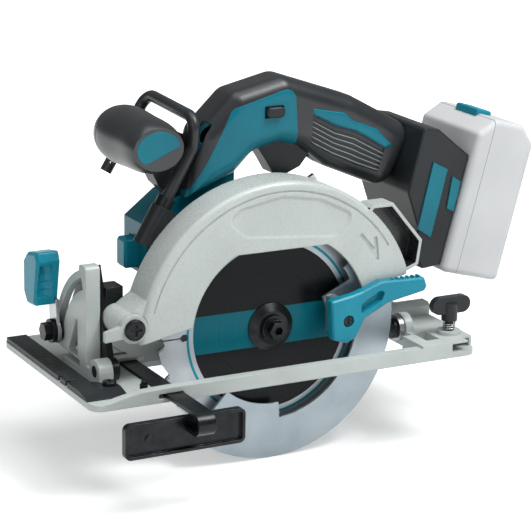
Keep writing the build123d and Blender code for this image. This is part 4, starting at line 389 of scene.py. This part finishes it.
gloss = add(tree, "ShaderNodeMath", {0: ring_gloss, 1: varnish.outputs["Result"]}, operation="MULTIPLY")
tree.links.new(gloss.outputs["Value"], shader.inputs["Roughness"])
shader.inputs["Specular IOR Level"].default_value = 0.14
dress(blade_steel, "saw_blade")


# Carbide tips
# One small block of sintered carbide brazed into the front of each tooth, a little wider than the disc.
TEETH = 24
TOOTH_START = 4.5
TOOTH_RAKE = 1.8
TOOTH_H = 5.0 * MM
BLADE_R = 82.5 * MM
TIP_TALL = 4.2 * MM
TIP_THICK = 1.8 * MM
TIP_HALF = 1.05 * MM
TIP_PROUD = 0.15 * MM
TIP_RELIEF = 0.35 * MM
TIP_EDGE = 0.12 * MM


def rim_point(radius, degrees):
    """Point on the blade at a radius and an angle."""
    a = radians(degrees)
    return Vector((radius * cos(a), 0.0, spindle[2] + radius * sin(a)))


def finished_mesh(name, mesh, *materials):
    """Object made from a bmesh, with its materials."""
    data = bpy.data.meshes.new(name)
    mesh.to_mesh(data)
    mesh.free()
    for material in materials:
        data.materials.append(material)
    made = bpy.data.objects.new(name, data)
    bpy.context.scene.collection.objects.link(made)
    return made


mesh = bmesh.new()
for i in range(TEETH):
    angle = i * 360 / TEETH + TOOTH_START
    tip = rim_point(BLADE_R, angle)
    down = (rim_point(BLADE_R - TOOTH_H, angle - TOOTH_RAKE) - tip).normalized()
    rear = Vector((-down.z, 0.0, down.x))
    if rear.dot(rim_point(BLADE_R, angle + 1) - tip) < 0:
        rear.negate()
    front = tip - rear * TIP_PROUD
    root = front + down * TIP_TALL
    corners = [front, root, root + rear * TIP_THICK, front + rear * TIP_THICK + down * TIP_RELIEF]
    near = [mesh.verts.new(c + Vector((0.0, -TIP_HALF, 0.0))) for c in corners]
    far = [mesh.verts.new(c + Vector((0.0, TIP_HALF, 0.0))) for c in corners]
    mesh.faces.new(near)
    mesh.faces.new(far[::-1])
    for k in range(4):
        mesh.faces.new((near[k], far[k], far[(k + 1) % 4], near[(k + 1) % 4]))
bmesh.ops.recalc_face_normals(mesh, faces=mesh.faces)
bmesh.ops.bevel(mesh, geom=mesh.edges[:], offset=TIP_EDGE, segments=2, affect="EDGES")
sintered_carbide = drawn_steel("ground_sintered_carbide", "#8d9196", "#75797e", 0.3)
tips = finished_mesh("carbide_tips", mesh, sintered_carbide)
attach(tips, "blade_set")


# Handle shells, motor case and bare trim
# Blue-green glass-filled nylon, injection moulded in two halves and held by screws.
teal_nylon = moulded("blue_green_glass_filled_nylon", "#007688", "#00687a", "#1f8fa0", 0.28,
                     grain_mm=0.8, depth_mm=0.06)[0]
dress(teal_nylon, "handle_shell_near", "handle_shell_far", "motor_cowl", "motor_housing", "trim_plates",
      "grip_insert")


# Levers and buttons
# The pieces that fingers work are moulded in a lighter blue-green, slightly glossier from handling.
light_nylon = moulded("light_blue_green_nylon", "#1590a8", "#0a8198", "#4fb4c6", 0.28,
                      grain_mm=0.8, depth_mm=0.05)[0]
dress(light_nylon, "bevel_lever", "depth_lever", "guard_lever", "shaft_lock_button", "battery_button")


# Black mouldings
# Glass-filled nylon in black: the wing knob, trigger, vented end cap, stalk, hook socket and battery mount.
black_nylon = moulded("black_glass_filled_nylon", "#282c2f", "#1c1f21", "#474c4f", 0.34,
                      grain_mm=0.9, depth_mm=0.08)[0]
dress(black_nylon, "wing_knob", "motor_end_cap", "grip_stalk", "switch_unit", "cooling_fan", "battery_mount",
      "trigger", "lock_off_button", "hook_holder")


# Rubber grip and hook sleeve
# Soft thermoplastic rubber moulded over the nylon: satin, with a fine leather-like grain.
soft_rubber = moulded("soft_black_moulded_rubber", "#2e3235", "#212427", "#4a4f52", 0.33,
                      grain_mm=0.7, depth_mm=0.10, shine=0.42)[0]
dress(soft_rubber, "rubber_grip", "hook")


# Ribbed grip panels
# On each side of the rear grip the rubber has long ribs, under a blue-green wedge; the upper side of each crest
# is painted pale as a painted highlight.
# Both are moulded on, so they follow the grip's rounded side.
WEDGE_TOP = [(36.1, 168.0), (60.5, 163.6), (67.0, 157.4), (86.0, 150.2), (99.0, 137.0)]
WEDGE_LOW = [(36.2, 164.1), (53.2, 154.8), (69.6, 149.8), (93.5, 135.6)]
RIBS_LOW = [(35.5, 144.0), (52.0, 134.6), (70.0, 126.4), (88.0, 119.6)]
GRIP_Y = 30 * MM
GRIP_REACH = 100 * MM
RIBS = 6
RIB_STEPS = 8
RIB_BED = 0.45
RIB_HIGH = 0.9
RIB_ROUND = 0.7
CREST_ROW = 3
WEDGE_ROWS = 10
WEDGE_HIGH = 1.2
COLUMNS = 40
PAD_SUNK = 0.3
PAD_ROOT = 1.0 * MM
ROUNDING = 1e-9
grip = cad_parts["rubber_grip"].data
grip_skin = BVHTree.FromPolygons([v.co for v in grip.vertices], [p.vertices for p in grip.polygons])


def along_line(points, t):
    """Point of a polyline at a share of its length."""
    spans = [Vector(b) - Vector(a) for a, b in zip(points, points[1:])]
    left = t * sum(s.length for s in spans)
    for start, span in zip(points, spans):
        if left <= span.length + ROUNDING:
            return Vector(start) + span * (left / span.length)
        left -= span.length
    return Vector(points[-1])


def laid_on_grip(upper, lower, rows, side, lift_mm):
    """Closed pad between two lines, laid on the grip's near (-1) or far (1) side and lifted by a profile."""
    mesh = bmesh.new()
    grid = []
    roots = []
    for i in range(COLUMNS + 1):
        top, bottom = along_line(upper, i / COLUMNS), along_line(lower, i / COLUMNS)
        column = []
        sunk = []
        for k in range(rows + 1):
            x, z = (top + (bottom - top) * (k / rows)) * MM
            start = Vector((x, GRIP_Y + side * GRIP_REACH, z))
            hit, normal, _, _ = grip_skin.ray_cast(start, Vector((0.0, -side, 0.0)))
            out = normal if normal.y * side > 0 else -normal
            column.append(mesh.verts.new(hit + out * lift_mm(i / COLUMNS, k / rows) * MM))
            sunk.append(mesh.verts.new(hit - out * PAD_ROOT))
        grid.append(column)
        roots.append(sunk)
    for a, b in zip(grid, grid[1:]):
        for k in range(rows):
            mesh.faces.new((a[k], b[k], b[k + 1], a[k + 1])).smooth = True
    for a, b in zip(roots, roots[1:]):
        for k in range(rows):
            mesh.faces.new((a[k + 1], b[k + 1], b[k], a[k]))
    rim = [(i, 0) for i in range(COLUMNS)] + [(COLUMNS, k) for k in range(rows)]
    rim += [(i, rows) for i in range(COLUMNS, 0, -1)] + [(0, k) for k in range(rows, 0, -1)]
    for (i, k), (j, m) in zip(rim, rim[1:] + rim[:1]):
        mesh.faces.new((grid[i][k], grid[j][m], roots[j][m], roots[i][k]))
    bmesh.ops.recalc_face_normals(mesh, faces=mesh.faces)
    return mesh


def border(t, w, end_fade, side_fade):
    """0 on a pad's border, rising to 1 over a share of its length and of its width."""
    return min(1.0, t / end_fade, (1 - t) / end_fade, w / side_fade, (1 - w) / side_fade)


def rib_lift(t, w):
    """Rounded ribs that fade out at both ends; the border sinks below the rubber."""
    wave = abs(sin(pi * RIBS * w)) ** RIB_ROUND
    return border(t, w, 0.03, 0.02) * (RIB_BED + RIB_HIGH * wave) - PAD_SUNK


def wedge_lift(t, w):
    """Flat raised wedge with a soft border."""
    return border(t, w, 0.02, 0.12) * WEDGE_HIGH - PAD_SUNK


rib_crest_painted_highlight = moulded("rubber_rib_crests_painted_highlight", "#9ea3a5", "#8a8f91", "#b4b8b9", 0.3,
                          grain_mm=0.7, depth_mm=0.04)[0]
for side, name in ((-1, "near"), (1, "far")):
    rib_rows = RIBS * RIB_STEPS
    mesh = laid_on_grip(WEDGE_LOW, RIBS_LOW, rib_rows, side, rib_lift)
    mesh.faces.ensure_lookup_table()
    for index in range(COLUMNS * rib_rows):
        row = index % rib_rows
        # Painted highlight: the row just above each rib's crest takes the pale rubber, where light catches the
        # ribs.
        mesh.faces[index].material_index = int(row % RIB_STEPS == CREST_ROW and row > RIB_STEPS)
    ribs = finished_mesh(f"grip_ribs_{name}", mesh, soft_rubber, rib_crest_painted_highlight)
    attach(ribs, "saw_body")
    mesh = laid_on_grip(WEDGE_TOP, WEDGE_LOW, WEDGE_ROWS, side, wedge_lift)
    wedge = finished_mesh(f"grip_wedge_{name}", mesh, teal_nylon)
    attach(wedge, "saw_body")


# Front grip
# A rubber-covered knob in two mouldings, with a parting groove round it; hands keep it a little glossier.
handled_rubber = moulded("hand_polished_black_rubber", "#34383b", "#26292c", "#4a4f52", 0.3,
                         grain_mm=0.7, depth_mm=0.10, shine=0.5)[0]
dress(handled_rubber, "front_grip")


# Battery
# Pale grey ABS case, injection moulded in two halves that meet in a line round the pack; steel cells inside.
SEAM_U = 11.0
SEAM_HALF = 0.45 * MM
PACK_AT = Vector((138.5, 26.0, 89.0))
PACK_LEAN = radians(15)
pale_abs, tree, shader, place = moulded("pale_grey_abs_with_parting_line", "#d2d4d6", "#c8cacc", "#dddfe0",
                                        0.36, grain_mm=0.8, depth_mm=0.05, edge_mm=3.0)
across = Vector((cos(PACK_LEAN), 0.0, -sin(PACK_LEAN)))
seam_depth = (across.dot(PACK_AT) + SEAM_U) * MM
depth = add(tree, "ShaderNodeVectorMath", {0: place, 1: across}, operation="DOT_PRODUCT")
apart = add(tree, "ShaderNodeMath", {0: depth.outputs["Value"], 1: seam_depth}, operation="SUBTRACT")
apart = add(tree, "ShaderNodeMath", {0: apart.outputs["Value"]}, operation="ABSOLUTE")
line = add(tree, "ShaderNodeMapRange",
           {"Value": apart.outputs["Value"], "From Max": SEAM_HALF, "To Min": 1.0, "To Max": 0.0},
           interpolation_type="SMOOTHSTEP")
overpaint(tree, shader, line.outputs["Result"], linear("#85888b"))
dress(pale_abs, "battery_case")
cell_steel = drawn_steel("nickel_plated_cell_cans", "#bfc2c4", "#a3a7aa", 0.28)
dress(cell_steel, "battery_cells")


# Windings and contacts
# Enamelled copper wire and tinned copper blades, inside the motor and the battery mount.
copper_wire = drawn_steel("enamelled_copper_wire", "#b87a45", "#94592c", 0.4)
dress(copper_wire, "stator", "terminal_block")


# Controller
# A board potted in dark green resin inside the cowl.
potted_board = moulded("potted_green_circuit_board", "#2f5a3f", "#244a33", "#3c6a4d", 0.3,
                       grain_mm=0.6, depth_mm=0.05)[0]
dress(potted_board, "controller_board")


# Floor and light
# A sheet of white paper under the saw; a soft lamp above the front right, a weak fill and a wide lamp overhead.
# The paper is lifted to white for the lens and for reflections, more so further out, and keeps the shadow.
FLOOR_SIZE = 12.0
FLOOR_GAP = 0.2 * MM
LIFT_NEAR = (0.3, 0.38)
LIFT_FAR = (1.1, 1.0)
WHITE = (1.0, 1.0, 1.0, 1.0)
LAMP_AIM = Vector((0.0, 0.0, 0.08))
SKY_LIGHT = 0.22
SKY_SEEN = 1.0
bpy.ops.mesh.primitive_plane_add(size=FLOOR_SIZE, location=(0, 0, cad_box[0][2] - FLOOR_GAP))
floor = bpy.context.object
floor.name = "studio_floor"
paper, tree, shader, place = new_material("matt_white_paper")
shader.inputs["Base Color"].default_value = linear("#eceded")
shader.inputs["Roughness"].default_value = 0.9
shader.inputs["Emission Color"].default_value = WHITE
ray = add(tree, "ShaderNodeLightPath").outputs
seen = ray["Is Camera Ray"]
for kind in ("Is Glossy Ray", "Is Transmission Ray"):
    seen = add(tree, "ShaderNodeMath", {0: seen, 1: ray[kind]}, operation="MAXIMUM").outputs["Value"]
away = add(tree, "ShaderNodeVectorMath", {0: place}, operation="LENGTH").outputs["Value"]
paler = add(tree, "ShaderNodeMapRange", {"Value": away, "From Min": LIFT_NEAR[0], "From Max": LIFT_FAR[0],
                                         "To Min": LIFT_NEAR[1], "To Max": LIFT_FAR[1]},
            interpolation_type="SMOOTHSTEP")
lift = add(tree, "ShaderNodeMath", {0: seen, 1: paler.outputs["Result"]}, operation="MULTIPLY")
tree.links.new(lift.outputs["Value"], shader.inputs["Emission Strength"])
floor.data.materials.append(paper)

for name, spot, size, watts in (("key_lamp", (0.7, -0.8, 1.7), 0.8, 32),
                                ("fill_lamp", (-1.3, -1.1, 0.8), 1.1, 4),
                                ("top_lamp", (-0.1, -0.1, 2.0), 1.4, 16)):
    lamp = bpy.data.lights.new(name, "AREA")
    lamp.size = size
    lamp.energy = watts
    stand = bpy.data.objects.new(name, lamp)
    stand.location = spot
    stand.rotation_euler = (LAMP_AIM - Vector(spot)).to_track_quat("-Z", "Y").to_euler()
    bpy.context.scene.collection.objects.link(stand)

world = bpy.data.worlds.new("studio_world")
bpy.context.scene.world = world
world.use_nodes = True
tree = world.node_tree
sky = tree.nodes["Background"]
sky.inputs["Color"].default_value = WHITE
ray = add(tree, "ShaderNodeLightPath").outputs
seen = add(tree, "ShaderNodeMath", {0: ray["Is Camera Ray"], 1: ray["Is Transmission Ray"]},
           operation="MAXIMUM")
strength = add(tree, "ShaderNodeMapRange",
               {"Value": seen.outputs["Value"], "To Min": SKY_LIGHT, "To Max": SKY_SEEN})
tree.links.new(strength.outputs["Result"], sky.inputs["Strength"])


# Camera
# Found by fitting the photograph to the blade's known size: a long lens from the front left, a little above.
AZIMUTH = radians(-28.05)
ELEVATION = radians(15.78)
ROLL = radians(0.93)
DISTANCE = 1.439
AIM = Vector((-0.010, -0.014, 0.0704))
PICTURE = 532
FOCAL_PIXELS = 2200
AXIS_PIXEL = (267, 268)
SENSOR = 36.0
FAR_LIMIT = 50

right = Vector((cos(AZIMUTH), sin(AZIMUTH), 0))
back = Vector((sin(AZIMUTH) * cos(ELEVATION), -cos(AZIMUTH) * cos(ELEVATION), sin(ELEVATION)))
up = back.cross(right)
rolled_right = right * cos(ROLL) + up * sin(ROLL)
rolled_up = up * cos(ROLL) - right * sin(ROLL)
lens = bpy.data.cameras.new("photo_camera")
lens.sensor_width = SENSOR
lens.lens = FOCAL_PIXELS / PICTURE * SENSOR
lens.shift_x = (PICTURE / 2 - AXIS_PIXEL[0]) / PICTURE
lens.shift_y = (AXIS_PIXEL[1] - PICTURE / 2) / PICTURE
lens.clip_end = FAR_LIMIT
camera = bpy.data.objects.new("photo_camera", lens)
turn = Matrix((rolled_right, rolled_up, back)).transposed().to_4x4()
camera.matrix_world = Matrix.Translation(AIM + back * DISTANCE) @ turn
bpy.context.scene.collection.objects.link(camera)
bpy.context.scene.camera = camera
bpy.context.scene.view_settings.view_transform = "Standard"
